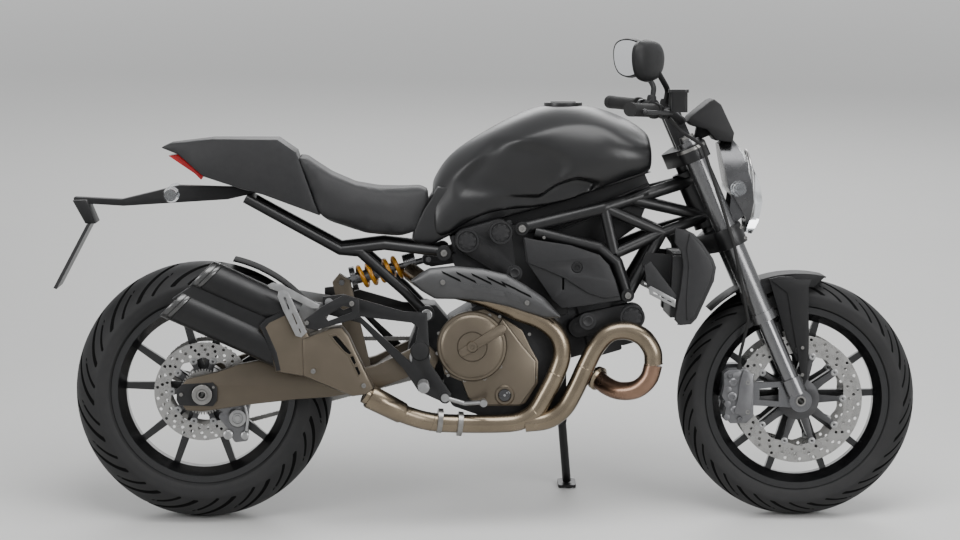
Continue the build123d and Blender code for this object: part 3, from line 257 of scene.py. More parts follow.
def baked(holder):  # the same, with the object taken away
    mesh = meshOf(holder)
    bpy.data.objects.remove(holder)
    return mesh


@contextmanager
def reshaping(mesh):
    shape = bmesh.new()
    shape.from_mesh(mesh)
    yield shape
    shape.to_mesh(mesh)
    shape.free()


def seatPiece(parts, name, slotName, body="chassis", material=None, replaced=(), smooth=True, angle=35):
    mesh = joinMeshes(name, parts) if isinstance(parts, list) else parts
    mesh.name = name
    piece = linked(name, mesh)
    if not mesh.materials:
        mesh.materials.append(material or finishes[slotName])
    if smooth:
        mesh.shade_smooth()
        mesh.set_sharp_from_angle(angle=math.radians(angle))
    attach(piece, body)
    if replaced:
        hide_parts(*replaced)


def outward(mesh):
    with reshaping(mesh) as shape:
        bmesh.ops.remove_doubles(shape, verts=shape.verts, dist=1e-6)
        bmesh.ops.recalc_face_normals(shape, faces=shape.faces)
    return mesh


def settled(mesh, steps):
    with reshaping(mesh) as shape:
        for step in range(steps):
            bmesh.ops.smooth_vert(shape, verts=shape.verts, factor=0.5, use_axis_x=True, use_axis_y=True,
                                  use_axis_z=True)


def meshFrom(points, faces):  # points in mm on the upright machine
    mesh = bpy.data.meshes.new("form")
    mesh.from_pydata([toWorld @ Vector(point) for point in points], [], faces)
    mesh.validate()
    mesh.update()
    return outward(mesh)


def skin(rings, ends=True, loop=False, base=0):  # points and faces over rings, ends filled or not
    count, levels = len(rings[0]), len(rings)
    faces = [(base + level * count + step, base + level * count + (step + 1) % count,
              base + (level + 1) % levels * count + (step + 1) % count,
              base + (level + 1) % levels * count + step)
             for level in range(levels if loop else levels - 1) for step in range(count)]
    if ends:
        last = base + (levels - 1) * count
        faces += [tuple(range(base, base + count)), tuple(range(last, last + count))]
    return [point for points in rings for point in points], faces


def plate(grids):  # points and faces of a thin plate between two grids of points
    lines, wide = len(grids[0]), len(grids[0][0])
    layer = lines * wide
    faces = [(base + line * wide + step, base + line * wide + step + 1, base + (line + 1) * wide + step + 1,
              base + (line + 1) * wide + step)
             for base in (0, layer) for line in range(lines - 1) for step in range(wide - 1)]
    rim = [*range(wide - 1), *(line * wide + wide - 1 for line in range(lines - 1)),
           *((lines - 1) * wide + step for step in range(wide - 1, 0, -1)),
           *(line * wide for line in range(lines - 1, 0, -1))]
    faces += [(here, ahead, layer + ahead, layer + here) for here, ahead in zip(rim, rim[1:] + rim[:1])]
    return [point for grid in grids for points in grid for point in points], faces


def circle(steps, share=2 * math.pi):  # evenly spaced turns
    return [step * share / steps for step in range(steps)]


def flatForm(outlines, near, far, bevel=0.0):  # side outlines, from near to far out on the right
    curve = bpy.data.curves.new("form", "CURVE")
    curve.dimensions = "2D"
    curve.fill_mode = "BOTH"
    curve.extrude = abs(far - near) / 2 - bevel
    curve.bevel_depth = bevel
    curve.bevel_resolution = 1
    for outline in outlines:
        line = curve.splines.new("POLY")
        line.points.add(len(outline) - 1)
        for point, (x, z) in zip(line.points, outline):
            point.co = (x, z, 0, 1)
        line.use_cyclic_u = True
    mesh = baked(linked("form", curve))
    middle = -(near + far) / 2
    for vertex in mesh.vertices:
        x, z, y = vertex.co
        vertex.co = toWorld @ Vector((x, middle + y, z))
    return outward(mesh)


def apart(side, near, far):  # the same stretch on the right (-1) or the left
    return (near, far) if side < 0 else (-far, -near)


def ring(centre, radius, steps=48):
    return [(centre[0] + radius * math.cos(turn), centre[1] + radius * math.sin(turn))
            for turn in circle(steps)]


def joinMeshes(name, meshes):
    joined = bpy.data.meshes.new(name)
    with reshaping(joined) as shape:
        for mesh in meshes:
            shape.from_mesh(mesh)
            bpy.data.meshes.remove(mesh)
    return joined


def pipe(points, radius, resolution=4, smoothWay=False, cyclic=False):
    curve = bpy.data.curves.new("form", "CURVE")
    curve.dimensions = "3D"
    curve.bevel_depth = radius / 1000
    curve.bevel_resolution = resolution
    curve.use_fill_caps = not cyclic
    line = curve.splines.new("NURBS" if smoothWay else "POLY")
    line.points.add(len(points) - 1)
    for point, place in zip(line.points, points):
        point.co = (*(toWorld @ Vector(place)), 1)
    if smoothWay:
        line.order_u = 3
        line.use_endpoint_u = True
    line.use_cyclic_u = cyclic
    return baked(linked("form", curve))


def cadCopy(name, node):  # a merged copy of a CAD node's mesh
    mesh = frame["nodes"][node].data.copy()
    mesh.name = name
    mesh.materials.clear()
    with reshaping(mesh) as shape:
        bmesh.ops.remove_doubles(shape, verts=shape.verts, dist=2e-5)
    return mesh


# Tyres

treads = {
    "segments": 612, "crownRows": 56, "grooveDepth": 4.5, "grooveCount": 18, "slant": 1.35,
    "grooveShare": 0.125, "ribDepth": 0.8,
}


def tyreProfile(radius, width, rimWidth):
    half, shoulder = width / 2, radius - width * 0.31
    bead = rimWidth / 2 - 5.6
    rise = radius - shoulder
    crown = (half * half + rise * rise) / (2 * rise)
    reach = math.asin(half / crown)
    rows = []
    for row in range(treads["crownRows"] + 1):
        turn = -reach + 2 * reach * row / treads["crownRows"]
        rows.append((crown * math.sin(turn), radius - crown + crown * math.cos(turn)))
    middle = (shoulder + wheels["rimRadius"]) / 2
    side = [(half * 0.997, shoulder - 6), (half * 0.99, middle + 6), (half * 0.975, middle),
            (half * 0.94, middle - 8), ((half + bead) / 2, wheels["rimRadius"] + 16),
            (bead + 3, wheels["rimRadius"] + 10), (bead, wheels["rimRadius"] + 1)]
    return rows + side + [(-y, r) for y, r in reversed(side)]


def makeTyre(name, centre, radius, width, rimWidth, body, node, flip):
    half, rise = width / 2, width * 0.31
    crown = (half * half + rise * rise) / (2 * rise)
    pitch = 2 * math.pi / treads["grooveCount"]

    def lag(y):  # the rows of the mesh run along the grooves
        return flip * pitch * treads["slant"] * min(1, abs(y) / half) ** 1.6

    def grooved(turn, y, reach):
        if reach < radius - width * 0.30:
            return reach - treads["ribDepth"] * (0.5 + 0.5 * math.sin(reach * 1.3)) * 0.3
        share = abs(y) / half
        lap = turn / pitch + (0.5 if y > 0 else 0)
        long = lap % 1 < treads["grooveShare"] and 0.07 < share < 0.955
        short = (lap + 0.47) % 1 < treads["grooveShare"] * 0.8 and 0.66 < share < 0.975
        return reach - treads["grooveDepth"] if long or short else reach

    rings = []
    for turn in circle(treads["segments"]):
        ways = [(y, grooved(turn, y, reach), turn + lag(y))
                for y, reach in tyreProfile(radius, width, rimWidth)]
        rings.append([(centre[0] + reach * math.cos(at), y, centre[1] + reach * math.sin(at))
                      for y, reach, at in ways])
    mesh = meshFrom(*skin(rings, ends=False, loop=True))
    mesh.materials.append(finishes["tyre"])
    # the second material is painted shade, put on the faces sunk into the grooves
    mesh.materials.append(paintedShade)
    toMachine = toWorld.inverted()
    for face in mesh.polygons:
        spot = toMachine @ face.center
        away = math.hypot(spot.x - centre[0], spot.z - centre[1])
        if abs(spot.y) < half * 0.98 and away > radius - rise:
            if away < radius - crown + math.sqrt(crown * crown - spot.y ** 2) - 1.2:
                face.material_index = 1
    seatPiece(mesh, name, "tyre", body, replaced=[node], angle=50)


makeTyre("rearTyre", rearAxle, wheels["rearRadius"], wheels["rearWidth"], wheels["rearRim"], "rear_wheel",
         "rear_tyre", 1)
makeTyre("frontTyre", frontAxle, wheels["frontRadius"], wheels["frontWidth"], wheels["frontRim"],
         "front_wheel", "front_tyre", -1)
print("tyres cut")


# Brake discs

discs = {
    "frontRadius": 160, "frontRing": 46, "frontSide": 70, "rearRadius": 122.5, "rearRing": 42,
    "rearSide": 74, "thickness": 5, "holeRadius": 4.3, "arms": 10, "groups": 26,
}


def drilledDisc(centre, radius, height, side):
    inner, half = radius - height, discs["thickness"] / 2
    holes = []
    for group in range(discs["groups"]):
        for row, share in enumerate((0.3, 0.56, 0.82)):
            turn = (group + row * 0.31) * 2 * math.pi / discs["groups"]
            away = inner + height * share
            spot = (centre[0] + away * math.cos(turn), centre[1] + away * math.sin(turn))
            holes.append(ring(spot, discs["holeRadius"], 12))
    scallops = []
    for turn in circle(160):
        reach = inner + 5 * (0.5 - 0.5 * math.cos(turn * discs["arms"])) ** 2
        scallops.append((centre[0] + reach * math.cos(turn), centre[1] + reach * math.sin(turn)))
    return flatForm([ring(centre, radius, 140), scallops, *holes], side - half, side + half, 0.4)


def discSpider(centre, inner, side, hub):
    parts = [flatForm([ring(centre, hub, 64), ring(centre, 23, 40)], side - 3, side + 3, 0.6)]
    ends = [(hub - 6, 10), (inner - 16, 5.5), (inner + 3, 10)]
    for turn in circle(discs["arms"]):
        out, across = Vector((math.cos(turn), math.sin(turn))), Vector((-math.sin(turn), math.cos(turn)))
        corners = [Vector(centre) + out * away + across * half
                   for away, half in ends + [(away, -half) for away, half in reversed(ends)]]
        parts.append(flatForm([[tuple(corner) for corner in corners]], side - 2.4, side + 2.4, 0.6))
    return parts


def discBobbins(centre, inner, side):
    return [flatForm([ring(spot, 8.2, 20), ring(spot, 4, 12)], side - 3.8, side + 3.8, 0.8)
            for spot in ring(centre, inner, discs["arms"])]


def makeDisc(label, centre, radius, height, side, hub, body, node):
    inner = radius - height
    seatPiece(drilledDisc(centre, radius, height, side), label + "Disc", "disc_steel", body,
              replaced=[node], smooth=False)
    seatPiece(discSpider(centre, inner, side, hub), label + "Spider", "disc_steel", body, discDark, [node])
    seatPiece(discBobbins(centre, inner - 2, side), label + "Bobbins", "disc_steel", body,
              finishes["alloy"], [node])


for label, side in (("frontRight", 1), ("frontLeft", -1)):
    makeDisc(label, frontAxle, discs["frontRadius"], discs["frontRing"], side * discs["frontSide"], 52,
             "front_wheel", "front_discs")
makeDisc("rear", rearAxle, discs["rearRadius"], discs["rearRing"], discs["rearSide"], 50, "rear_wheel",
         "rear_disc")
teeth = [(rearAxle[0] + reach * math.cos(turn + shift), rearAxle[1] + reach * math.sin(turn + shift))
         for turn in circle(48) for reach, shift in ((51, 0), (57, 0.01), (57, 0.07), (51, 0.08))]
seatPiece(flatForm([teeth, ring(rearAxle, 40, 40)], 84, 86, 0.3), "speedRing", "disc_steel", "rear_wheel",
          finishes["bare_steel"])
print("discs drilled")


# Pieces repeated by geometry nodes

def repeatTree(name):  # instances a part on points, turned to face each point's own way
    tree = bpy.data.node_groups.new(name, "GeometryNodeTree")
    for label, kind, way in (("Geometry", "Geometry", "INPUT"), ("Part", "Object", "INPUT"),
                             ("Size", "Float", "INPUT"), ("Finish", "Material", "INPUT"),
                             ("Geometry", "Geometry", "OUTPUT")):
        tree.interface.new_socket(name=label, in_out=way, socket_type="NodeSocket" + kind)
    given, result = added(tree, "NodeGroupInput"), added(tree, "NodeGroupOutput")
    part = added(tree, "GeometryNodeObjectInfo")
    facing, along, share = [added(tree, "GeometryNodeInputNamedAttribute", data_type=kind, Name=label)
                            for label, kind in (("facing", "FLOAT_VECTOR"), ("along", "FLOAT_VECTOR"),
                                                ("share", "FLOAT"))]
    faceUp = added(tree, "FunctionNodeAlignEulerToVector", axis="Z")
    turnAlong = added(tree, "FunctionNodeAlignEulerToVector", axis="X", pivot_axis="Z")
    scale = added(tree, "ShaderNodeMath", operation="MULTIPLY")
    place = added(tree, "GeometryNodeInstanceOnPoints")
    realize, finish = added(tree, "GeometryNodeRealizeInstances"), added(tree, "GeometryNodeSetMaterial")
    wire(tree, (given, "Part", part, "Object"), (given, "Geometry", place, "Points"),
         (part, "Geometry", place, "Instance"), (facing, "Attribute", faceUp, "Vector"),
         (faceUp, "Rotation", turnAlong, "Rotation"), (along, "Attribute", turnAlong, "Vector"),
         (turnAlong, "Rotation", place, "Rotation"), (given, "Size", scale, 0),
         (share, "Attribute", scale, 1), (scale, "Value", place, "Scale"),
         (place, "Instances", realize, "Geometry"), (realize, "Geometry", finish, "Geometry"),
         (given, "Finish", finish, "Material"), (finish, "Geometry", result, "Geometry"))
    return tree


repeater = repeatTree("repeatPart")


def repeated(part, places, material):  # places are (spot, facing, along, share)
    mesh = bpy.data.meshes.new("repeated")
    mesh.from_pydata([toWorld @ Vector(entry[0]) for entry in places], [], [])
    turn = toWorld.to_3x3()
    for index, label in enumerate(("facing", "along")):
        ways = mesh.attributes.new(label, "FLOAT_VECTOR", "POINT")
        for number, entry in enumerate(places):
            ways.data[number].vector = (turn @ Vector(entry[index + 1])).normalized()
    shares = mesh.attributes.new("share", "FLOAT", "POINT")
    for number, entry in enumerate(places):
        shares.data[number].value = entry[3]
    holder = linked("repeated", mesh)
    setup = holder.modifiers.new("repeat", "NODES")
    setup.node_group = repeater
    sockets = {item.name: item.identifier
               for item in repeater.interface.items_tree if item.in_out == "INPUT"}
    for label, value in (("Part", part), ("Size", 1.0), ("Finish", material)):
        setup[sockets[label]] = value
    return baked(holder)


def partFrom(name, points, faces):  # a part to repeat, at the origin, facing +Z
    mesh = bpy.data.meshes.new(name)
    mesh.from_pydata([Vector(point) / 1000 for point in points], [], faces)
    outward(mesh)
    mesh.shade_smooth()
    mesh.set_sharp_from_angle(angle=math.radians(30))
    return bpy.data.objects.new(name, mesh)


def capScrew(radius=5.0, height=5.0, sides=12):
    levels = [(radius, 0), (radius, height * 0.8), (radius * 0.86, height), (radius * 0.5, height),
              (radius * 0.5, height * 0.35)]
    rings = []
    for level, (reach, rise) in enumerate(levels):
        hexed = [reach / math.cos((turn + math.pi / 6) % (math.pi / 3) - math.pi / 6) * 0.93
                 if level > 2 else reach for turn in circle(sides)]
        rings.append([(away * math.cos(turn), away * math.sin(turn), rise)
                      for away, turn in zip(hexed, circle(sides))])
    return partFrom("capScrew", *skin(rings))


screw = capScrew()
rightward, leftward = (0, -1, 0), (0, 1, 0)


def screwsAt(name, places, body="chassis"):  # places are (x, y, z, size)
    listed = [((x, y, z), (0, -1 if y < 0 else 1, 0), (1, 0, 0), size) for x, y, z, size in places]
    seatPiece(repeated(screw, listed, finishes["bare_steel"]), name, "bare_steel", body, smooth=False)


def bothSides(places):
    return places + [(x, -y, z, size) for x, y, z, size in places]


# Soft edges on cast, pressed and moulded pieces

def softened(node, body, width, material=None):
    mesh = cadCopy("soft_" + node, node)
    with reshaping(mesh) as shape:
        bmesh.ops.dissolve_limit(shape, angle_limit=math.radians(0.6), verts=shape.verts, edges=shape.edges)
        corners = [edge for edge in shape.edges
                   if len(edge.link_faces) == 2 and edge.calc_face_angle(0) > math.radians(38)]
        bmesh.ops.bevel(shape, geom=corners, offset=width / 1000, segments=2, profile=0.5, affect="EDGES",
                        clamp_overlap=True)
        bmesh.ops.remove_doubles(shape, verts=shape.verts, dist=1e-5)
    seatPiece(mesh, "soft_" + node, slotOf[node], body, material, [node], angle=30)


softNodes = {
    "chassis": [
        ("engine_block", 2.5), ("belt_covers", 1.2), ("left_covers", 1.2), ("tail_cowl", 5.0),
        ("swingarm_bridge", 2.0), ("rear_caliper", 1.5), ("footrest_plates", 1.5),
        ("footpegs", 0.8), ("plate_holder", 2.0), ("tail_lamp", 2.0),
    ],
    "steering": [
        ("yokes", 1.5), ("front_fender", 1.2), ("bar_controls", 1.0),
    ],
    "rear_wheel": [("rear_sprocket", 0.6)],
}
for body, listed in softNodes.items():
    for node, width in listed:
        softened(node, body, width)
softened("hugger", "chassis", 1.2, material=dullBlack)
print("edges softened")


# Seat

seatMake = {"voxel": 0.006, "pressure": 3.0, "steps": 14, "cap": 0.005, "smooth": 6, "settle": 8}


def addVoxels(holder, size, smooth):  # remeshes an object evenly, and smooths it
    voxels = holder.modifiers.new("voxels", "REMESH")
    voxels.mode, voxels.voxel_size = "VOXEL", size
    smoothing = holder.modifiers.new("smoothing", "SMOOTH")
    smoothing.factor, smoothing.iterations = 0.5, smooth


def makeSeat():
    pad = linked("seatPad", cadCopy("seatPad", "seat"))
    addVoxels(pad, seatMake["voxel"], seatMake["smooth"])
    firm = meshOf(pad)
    pad.modifiers.clear()
    pad.data = firm
    rest = [vertex.co.copy() for vertex in firm.vertices]
    cloth = pad.modifiers.new("padding", "CLOTH").settings
    cloth.quality = 5
    cloth.use_pressure = True
    cloth.uniform_pressure_force = seatMake["pressure"]
    cloth.effector_weights.gravity = 0
    cloth.tension_stiffness = cloth.compression_stiffness = 30
    for step in range(1, seatMake["steps"] + 1):
        bpy.context.scene.frame_set(step)
    swollen = meshOf(pad)
    pad.modifiers.clear()
    bpy.context.scene.frame_set(1)
    for vertex, start, puffed in zip(firm.vertices, rest, swollen.vertices):
        move = puffed.co - start
        vertex.co = start + move * min(1, seatMake["cap"] / max(move.length, 1e-6))
    settled(firm, seatMake["settle"])
    firm.materials.append(finishes["seat_vinyl"])
    firm.shade_smooth()
    fine = pad.modifiers.new("fine", "SUBSURF")
    fine.levels = fine.render_levels = 1
    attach(pad, "chassis")
    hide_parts("seat")


makeSeat()
print("seat padded")


# Chain

chain = {
    "pitch": 15.875, "rearTeeth": 46, "frontTeeth": 15, "side": 105, "drive": (616, 400),
    "plate": 1.8, "inner": 4.2, "outer": 6.4, "roller": 5.0,
}


def pitchRadius(teeth):
    return chain["pitch"] / 2 / math.sin(math.pi / teeth)


def chainPlaces():  # evenly spaced places round both sprockets
    big, small = pitchRadius(chain["rearTeeth"]), pitchRadius(chain["frontTeeth"])
    centre, drive = Vector(rearAxle), Vector(chain["drive"])
    span = drive - centre
    slope, spread = math.atan2(span.y, span.x), math.acos((big - small) / span.length)
    upper, lower = slope + spread, slope - spread
    steps = 240
    path = [centre + big * Vector((math.cos(turn), math.sin(turn)))
            for turn in (upper + (2 * math.pi - 2 * spread) * step / steps for step in range(steps + 1))]
    path += [drive + small * Vector((math.cos(turn), math.sin(turn)))
             for turn in (lower + 2 * spread * step / steps for step in range(steps + 1))]
    path.append(path[0])
    lengths = [0.0]
    for here, ahead in zip(path, path[1:]):
        lengths.append(lengths[-1] + (ahead - here).length)
    count = round(lengths[-1] / chain["pitch"] / 2) * 2
    places, at = [], 0
    for link in range(count):
        goal = lengths[-1] * link / count
        while lengths[at + 1] < goal:
            at += 1
        share = (goal - lengths[at]) / max(lengths[at + 1] - lengths[at], 1e-9)
        places.append(path[at].lerp(path[at + 1], share))
    return places


def linkPart(name, offset):  # two side plates with waists, and the rollers between them
    half, thick = chain["pitch"] / 2, chain["plate"]
    outline = [(x + half if x > 0.1 else x - half, y if abs(x) > 1.8 else y * 0.72)
               for x, y in ring((0, 0), 6.6, 24)]
    inner = offset < 5
    reach, wide = (chain["roller"], offset) if inner else (2.6, offset + thick + 1)
    pairs = [[[(x, y, level) for x, y in outline] for level in (side * offset, side * (offset + thick))]
             for side in (-1, 1)]
    pairs += [[[(x, y, level) for x, y in ring((end, 0), reach, 12)] for level in (-wide, wide)]
              for end in (-half, half)]
    points, faces = [], []
    for rings in pairs:
        more, walls = skin(rings, base=len(points))
        points += more
        faces += walls
    return partFrom(name, points, faces)


def makeChain():
    places, meshes = chainPlaces(), []
    parts = [linkPart("innerLink", chain["inner"]), linkPart("outerLink", chain["outer"])]
    for kind, part in enumerate(parts):
        listed = []
        for number in range(kind, len(places), 2):
            here, ahead = places[number], places[(number + 1) % len(places)]
            middle, run = (here + ahead) / 2, ahead - here
            listed.append(((middle.x, chain["side"], middle.y), leftward, (run.x, 0, run.y), 1.0))
        meshes.append(repeated(part, listed, finishes["bare_steel"]))
    seatPiece(meshes, "chainLinks", "bare_steel", replaced=["chain"], smooth=False)


makeChain()
print("chain linked")


# Spring

spring = {
    "back": (345, 590), "front": (563, 648), "start": 0.17, "end": 0.72, "wire": 11, "across": 62,
    "coils": 5, "steps": 32,
}


def makeSpring():
    back, front = [Vector((x, 0, z)) for x, z in (spring["back"], spring["front"])]
    run = front - back
    way = run.normalized()
    aside, above = Vector((0, 1, 0)), way.cross(Vector((0, 1, 0)))
    half = spring["wire"] / 2
    length = run.length * (spring["end"] - spring["start"]) - spring["wire"]
    foot = back + run * spring["start"] + way * half
    reach = (spring["across"] - spring["wire"]) / 2
    points, count = [], spring["coils"] * spring["steps"]
    for step in range(count + 1):
        turn = step * 2 * math.pi / spring["steps"]
        along = length * step / count
        points.append(foot + way * along + reach * (math.cos(turn) * aside + math.sin(turn) * above))
    mesh = pipe(points, half, resolution=5)
    seatPiece(mesh, "springCoils", "spring_yellow", replaced=["shock_spring"])


makeSpring()


# Turned pieces

def turned(start, way, rings, segments=40, closed=True):  # rings are (along, radius)
    start, way = Vector(start), Vector(way).normalized()
    across = way.cross(Vector((0, 1, 0)) if abs(way.y) < 0.9 else Vector((1, 0, 0))).normalized()
    aside = way.cross(across)
    levels = [[start + way * along + radius * (math.cos(turn) * across + math.sin(turn) * aside)
               for turn in circle(segments)] for along, radius in rings]
    return meshFrom(*skin(levels, ends=closed, loop=not closed))


# Tank, with its knee recesses pressed in

tank = {
    "voxel": 0.005, "depth": 13, "blur": 34, "settle": 14,
    "knee": [(690, 918), (722, 950), (771, 952), (852, 936), (901, 912), (915, 890), (905, 862),
             (878, 838), (827, 800), (758, 806), (640, 812), (632, 850)],
}


def insideDistance(x, z, outline):  # how far inside an outline a place lies, or a negative
    nearest, inside = 1e9, False
    for (ax, az), (bx, bz) in zip(outline, outline[1:] + outline[:1]):
        run = max((bx - ax) ** 2 + (bz - az) ** 2, 1e-9)
        share = min(1, max(0, ((x - ax) * (bx - ax) + (z - az) * (bz - az)) / run))
        nearest = min(nearest, math.hypot(x - ax - share * (bx - ax), z - az - share * (bz - az)))
        if (az > z) != (bz > z) and x < (bx - ax) * (z - az) / (bz - az) + ax:
            inside = not inside
    return nearest if inside else -nearest


def makeTank():
    holder = linked("tankSkin", cadCopy("tankSkin", "fuel_tank"))
    addVoxels(holder, tank["voxel"], 3)
    mesh = baked(holder)
    toMachine = toWorld.inverted()
    turn = toMachine.to_3x3()
    for vertex in mesh.vertices:
        spot = toMachine @ vertex.co
        facing = abs((turn @ vertex.normal).normalized().y)
        inside = insideDistance(spot.x, spot.z, tank["knee"])
        if facing > 0.15 and inside > -tank["blur"] * 0.3:
            share = min(1, max(0, (inside + tank["blur"] * 0.3) / tank["blur"]))
            press = tank["depth"] * share * share * (3 - 2 * share) * min(1, facing * 1.5)
            spot.y -= math.copysign(press, spot.y)
            vertex.co = toWorld @ spot
    settled(mesh, tank["settle"])
    seatPiece(mesh, "tankSkin", "tank_black", replaced=["fuel_tank"], angle=75)


makeTank()
print("tank pressed")


# Silencer: two barrels cut on a slant, their bright ends, and the bronze front cover

silencer = {
    "foot": (217, 475), "side": 198, "rise": 24.6, "radius": 44, "spread": 46, "band": 24,
    "slash": ((60, 683), (-92, 532)),
}


def makeSilencer():
    rise = math.radians(silencer["rise"])
    way, above = Vector((-math.cos(rise), 0, math.sin(rise))), Vector((math.sin(rise), 0, math.cos(rise)))
    aside = Vector((0, -1, 0))
    (ax, az), (bx, bz) = silencer["slash"]
    cut = Vector((az - bz, 0, bx - ax)).normalized()
    foot = Vector((silencer["foot"][0], -silencer["side"], silencer["foot"][1]))
    blackParts, brightParts, darkParts = [], [], []
    for offset in (-silencer["spread"], silencer["spread"]):
        centre = foot + above * offset

        def endOf(spot):
            return (Vector((ax, spot.y, az)) - spot).dot(cut) / way.dot(cut)

        def barrelWall(rings):  # rings are (distance before the cut or None, radius)
            levels = []
            for before, radius in rings:
                spots = [centre + radius * (math.cos(turn) * above + math.sin(turn) * aside)
                         for turn in circle(56)]
                levels.append([spot + way * (1.0 if before is None else endOf(spot) - before)
                               for spot in spots])
            return meshFrom(*skin(levels, ends=False))

        radius, band = silencer["radius"], silencer["band"]
        blackParts.append(barrelWall([
            (None, 30), (None, radius - 2), (band + 60, radius - 0.5), (band + 2, radius),
            (band + 1, radius - 3)]))
        brightParts.append(barrelWall([
            (band, radius - 4), (band, radius - 0.6), (band - 2, radius + 0.4), (band * 0.62, radius + 0.4),
            (band * 0.56, radius - 0.8), (band * 0.5, radius + 0.4), (2.5, radius + 0.4), (0, radius - 1.2),
            (0.5, radius - 5), (12, radius - 8), (60, radius - 9)]))
        # a near-black wall just inside each barrel's end: painted shade
        darkParts.append(barrelWall([(12, radius - 8.5), (90, radius - 10), (92, 2)]))
    web = [foot + above * up + way * along for up, along in ((-34, 1.5), (34, 1.5), (34, 250), (-34, 292))]
    blackParts.append(flatForm([[(point.x, point.z) for point in web]], silencer["side"] - 30,
                               silencer["side"] + 30, 3))
    for name, parts, material in (("silencerBody", blackParts, None),
                                  ("silencerEnds", brightParts, tipDark),
                                  ("silencerInside", darkParts, paintedShade)):
        seatPiece(parts, name, "silencer_black", material=material, replaced=["silencer"])


silencerCoverMake = {
    "slits": [[(322, 474), (334, 476), (343, 468), (372, 432), (366, 428), (354, 436), (334, 458)],
              [(366, 424), (376, 426), (383, 408), (377, 402)],
              [(378, 398), (386, 400), (394, 382), (388, 376)]],
    "screws": [(277, -246, 388, 1.3), (401, -246, 352, 1.2)],
    "rear": [(153, 497), (166, 511), (212, 533), (236, 520), (262, 470), (259, 380), (190, 392),
             (181, 433)],
    "front": [(258, 462), (292, 475), (322, 487), (344, 488), (358, 470), (376, 430), (396, 388),
              (416, 348), (404, 337), (374, 333), (318, 356), (259, 381)],
    "lining": [(148, 500), (164, 516), (213, 538), (214, 530), (168, 508), (158, 496), (186, 433),
               (195, 391), (188, 390), (178, 432)],
}


def makeSilencerCover():
    cover = [flatForm([silencerCoverMake["rear"]], 165, 241, 7),
             flatForm([silencerCoverMake["front"]], 160, 246, 8)]
    seatPiece(cover, "silencerCover", "cover_bronze", replaced=["silencer_front"])
    seatPiece(flatForm([silencerCoverMake["lining"]], 160, 242.4, 2), "silencerEdge", "silencer_black")
    vents, rims = [], []
    for corners in silencerCoverMake["slits"]:
        # each slit is filled by a near-black plate: painted shade in the vent
        vents.append(flatForm([corners], 240, 246.5))
        middle = [sum(values) / len(corners) for values in zip(*corners)]
        wider = [(middle[0] + (x - middle[0]) * 1.16, middle[1] + (z - middle[1]) * 1.16)
                 for x, z in corners]
        rims.append(flatForm([wider, corners], 240, 248.2, 1))
    seatPiece(vents, "silencerVents", "cover_bronze", material=paintedShade)
    seatPiece(rims, "silencerRims", "cover_bronze")
    screwsAt("silencerScrews", silencerCoverMake["screws"])


makeSilencer()
makeSilencerCover()


# Passenger footrest carrier beside the silencer

carrierMake = {
    "screws": [(262, -257, 508, 1.1), (372, -257, 555, 1.3)],
    "frameOutline": [(258, 514), (300, 546), (350, 573), (388, 564), (390, 522), (286, 492), (262, 496)],
    "window": [(304, 522), (350, 551), (374, 546), (374, 532), (314, 510)],
    "upper": [(168, 601), (179, 606), (202, 601), (292, 552), (290, 545), (276, 545), (190, 588),
              (172, 594)],
    "lower": [(192, 574), (194, 585), (205, 589), (217, 581), (261, 486), (248, 474), (236, 477),
              (205, 540)],
    "slots": [[(203, 570), (209, 574), (213, 569), (222, 541), (217, 539)],
              [(224, 532), (229, 533), (241, 505), (236, 502)],
              [(240, 495), (245, 496), (250, 484), (246, 480)]],
}


def makeCarrier():
    carrier = [flatForm([carrierMake["frameOutline"], carrierMake["window"]], 247, 256, 2)]
    carrier.append(turned((376, -166, 552), (0, -1, 0), [(0, 11), (82, 11), (86, 9)]))
    seatPiece(carrier, "passengerCarrier", "frame_black")
    guards = [flatForm([carrierMake["upper"]], 256.5, 261, 1.5),
              flatForm([carrierMake["lower"], *carrierMake["slots"]], 256.5, 262, 1.5)]
    seatPiece(guards, "heelGuard", "alloy")
    screwsAt("carrierScrews", carrierMake["screws"])


makeCarrier()


# Rear axle adjuster and nut

adjusterMake = {
    "block": [(-62, -14), (-56, -26), (26, -28), (36, -14), (36, 16), (26, 28), (-48, 24), (-62, 12)],
    "nut": [(0, 25), (4, 25), (5.5, 23), (5.5, 15), (0, 15)],
}


def makeAdjuster():
    x, z = rearAxle
    block = [(x + a, z + b) for a, b in adjusterMake["block"]]
    mesh = flatForm([block, ring(rearAxle, 24.6, 40)], 148.4, 153, 1.5)
    seatPiece(mesh, "axleAdjuster", "bare_steel", material=finishes["frame_black"])
    seatPiece(turned((x, -160.6, z), rightward, adjusterMake["nut"], closed=False), "axleNut", "bare_steel")
    screwsAt("adjusterScrews", [(x - 52, -153, z, 1.0), (x + 28, -153, z + 18, 0.7)])


makeAdjuster()


# Mirrors: their glass, and a shell with a raised back

mirrorMake = {
    "bend": (354, -20, 200), "end": (401, -108, 385), "along": 28, "turn": 28, "glass": (1086, 300, 1150),
    "corners": [(-78, 8), (-55, 45), (34, 51), (78, 29), (67, -33), (12, -54), (-57, -41)],
    "rings": [(0, 0.97), (-1.5, 1.0), (8, 1.05), (20, 0.97), (28, 0.78), (32, 0.5), (33, 0.1)],
}


def rounded(corners, rounds=3):  # cuts the corners of a closed outline again and again
    for cut in range(rounds):
        corners = [point for here, ahead in zip(corners, corners[1:] + corners[:1])
                   for point in ((here[0] * 0.75 + ahead[0] * 0.25, here[1] * 0.75 + ahead[1] * 0.25),
                                 (here[0] * 0.25 + ahead[0] * 0.75, here[1] * 0.25 + ahead[1] * 0.75))]
    return corners


